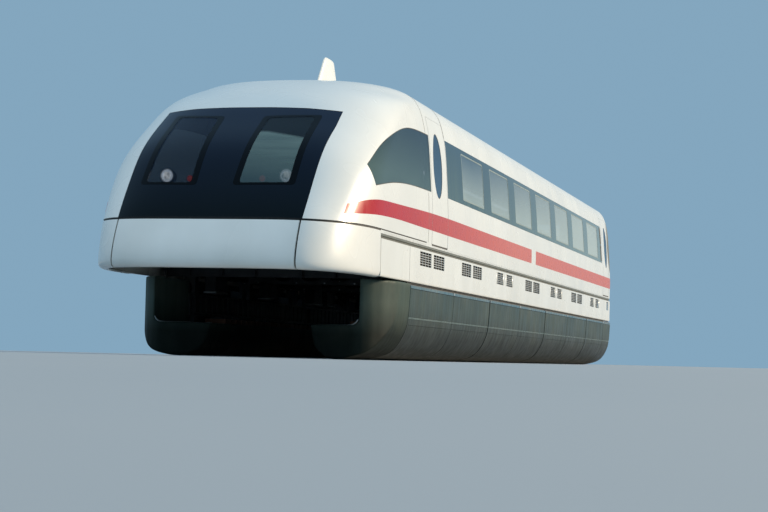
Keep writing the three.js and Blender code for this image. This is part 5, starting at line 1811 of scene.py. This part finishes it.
seat_frame = [soften(lathe(POST, 10.70, 0.0)), soften(prism(BACK_SHELL, "y", -0.250, 0.250))]
fitted("driver_seat_frame", seat_frame, DESK)

# %% Desk
DESK_PROFILE = [(11.47, 1.7115), (11.60, 2.00), (11.36, 2.115), (11.36, 2.165), (11.40, 2.18), (11.98, 2.245),
                (12.02, 2.262), (12.10, 2.262), (12.14, 2.240), (12.555, 2.240), (12.555, 1.7115)]
DISPLAY = [(11.62, 2.212), (11.70, 2.345), (11.72, 2.345), (11.73, 2.222)]
LEVER = [(0.030, 2.180), (0.030, 2.196), (0.011, 2.202), (0.009, 2.262), (0.022, 2.272), (0.024, 2.292), (0.012, 2.306)]
console = [soften(prism(DESK_PROFILE, "y", -1.12, 1.12), 28)]
fitted("driver_console", console, DESK, ("driver_desk",))
displays = [soften(prism(DISPLAY, "y", y - 0.17, y + 0.17), 28) for y in (-0.62, -0.21, 0.21, 0.62)]
fitted("desk_displays", displays, SCREEN)
fitted("desk_levers", [soften(lathe(LEVER, 11.50, y, 16)) for y in (-0.36, 0.36)], ALUMINIUM)

# %% Lamps on the desk
LAMP_X = 12.575
LAMPS = [("white", 0.825, 0.092, 2.378), ("red", 0.500, 0.045, 2.340)]
# Parts of a lamp: shares of its radius with the distance behind its face, steps round and hard-edge angle.
LAMP_PARTS = {
    "cups": ([(0.55, 0.200), (0.90, 0.170), (1.02, 0.060), (1.02, 0.012), (0.94, 0.012), (0.80, 0.060)], 24, 32),
    "rims": ([(0.90, 0.016), (0.90, 0.004), (0.97, -0.004), (1.06, 0.000), (1.08, 0.014), (1.04, 0.020)], 32, 32),
    "lenses": ([(0.93, 0.030), (0.93, 0.014), (0.70, 0.002), (0.62, -0.002), (0.62, 0.006)], 32, 60),
    "hearts": ([(0.60, 0.006), (0.60, 0.000), (0.44, -0.010), (0.06, -0.016)], 32, 60)}
for kind, y, radius, z in LAMPS:
    # The white lamps take the heart with lamp light and painted glints.
    heart = LAMP_HEART_WITH_GLINTS if kind == "white" else LAMP[kind]
    finishes = {"cups": DESK, "rims": ALUMINIUM, "lenses": LAMP[kind], "hearts": heart}
    for part, (profile, steps, angle) in LAMP_PARTS.items():
        turned = [turned_along_x([(radius * share, back) for share, back in profile], LAMP_X, side * y, z, steps, angle)
                  for _, side in SIDES]
        fitted(f"lamp_{part}_{kind}", turned, finishes[part])
feet = [(12.40, 12.50, side * y - 0.03, side * y + 0.03, 2.239, z - radius * 0.9)
        for _, y, radius, z in LAMPS for _, side in SIDES]
tie(many_blocks("lamp_feet", feet, DESK, 0.004))
print("driver's place made")

# %% [markdown]
# ## Saloon lining
# Through the windows the ceiling, two light lines, the luggage shelves and the carpet show. The ceiling is a thin
# arched panel under the roof, drawn out along the car.

# %% Saloon lining
ROOM_REAR, ROOM_FRONT, CEILING_HALF, LIGHT_STEP = -13.24, 8.33, 1.46, 2.6
SHELF_REAR, SHELF_FRONT = ROOM_REAR + 1.9, 6.5


def ceiling_line(drop):
    across = np.linspace(-CEILING_HALF, CEILING_HALF, 31)
    return [(y, 3.985 - 0.20 * (abs(y) / CEILING_HALF) ** 4 - drop) for y in across]


ceiling = soften(prism(ceiling_line(0.0) + ceiling_line(0.012)[::-1], "x", ROOM_REAR, ROOM_FRONT), 30)
fitted("saloon_ceiling", [ceiling], LINING)
lights = [(x + 0.4, x + 2.8, side * 0.80 - 0.05, side * 0.80 + 0.05, 3.935, 3.958)
          for x in (ROOM_REAR + i * LIGHT_STEP for i in range(7)) for _, side in SIDES]
tie(many_blocks("ceiling_lights", lights, LAMP["white"], 0.006))
shelves = [(SHELF_REAR, SHELF_FRONT, side * inner, side * outer, low, high) for _, side in SIDES
           for inner, outer, low, high in ((1.22, 1.585, 3.452, 3.474), (1.205, 1.225, 3.445, 3.500))]
tie(many_blocks("luggage_shelves", shelves, LINING, 0.004))
carpets = [(rear, front, -half, half, 1.7112, 1.7165)
           for rear, front, half in ((ROOM_REAR, ROOM_FRONT, 1.70), (ROOM_FRONT + 0.10, 11.40, 1.64))]
tie(many_blocks("carpet", carpets, CARPET))
print("saloon lined")


# %% [markdown]
# ## Last update
# The visual model must fill the CAD box and no more. The last line brings the scene up to date.

# %% Last update
bpy.context.view_layer.update()
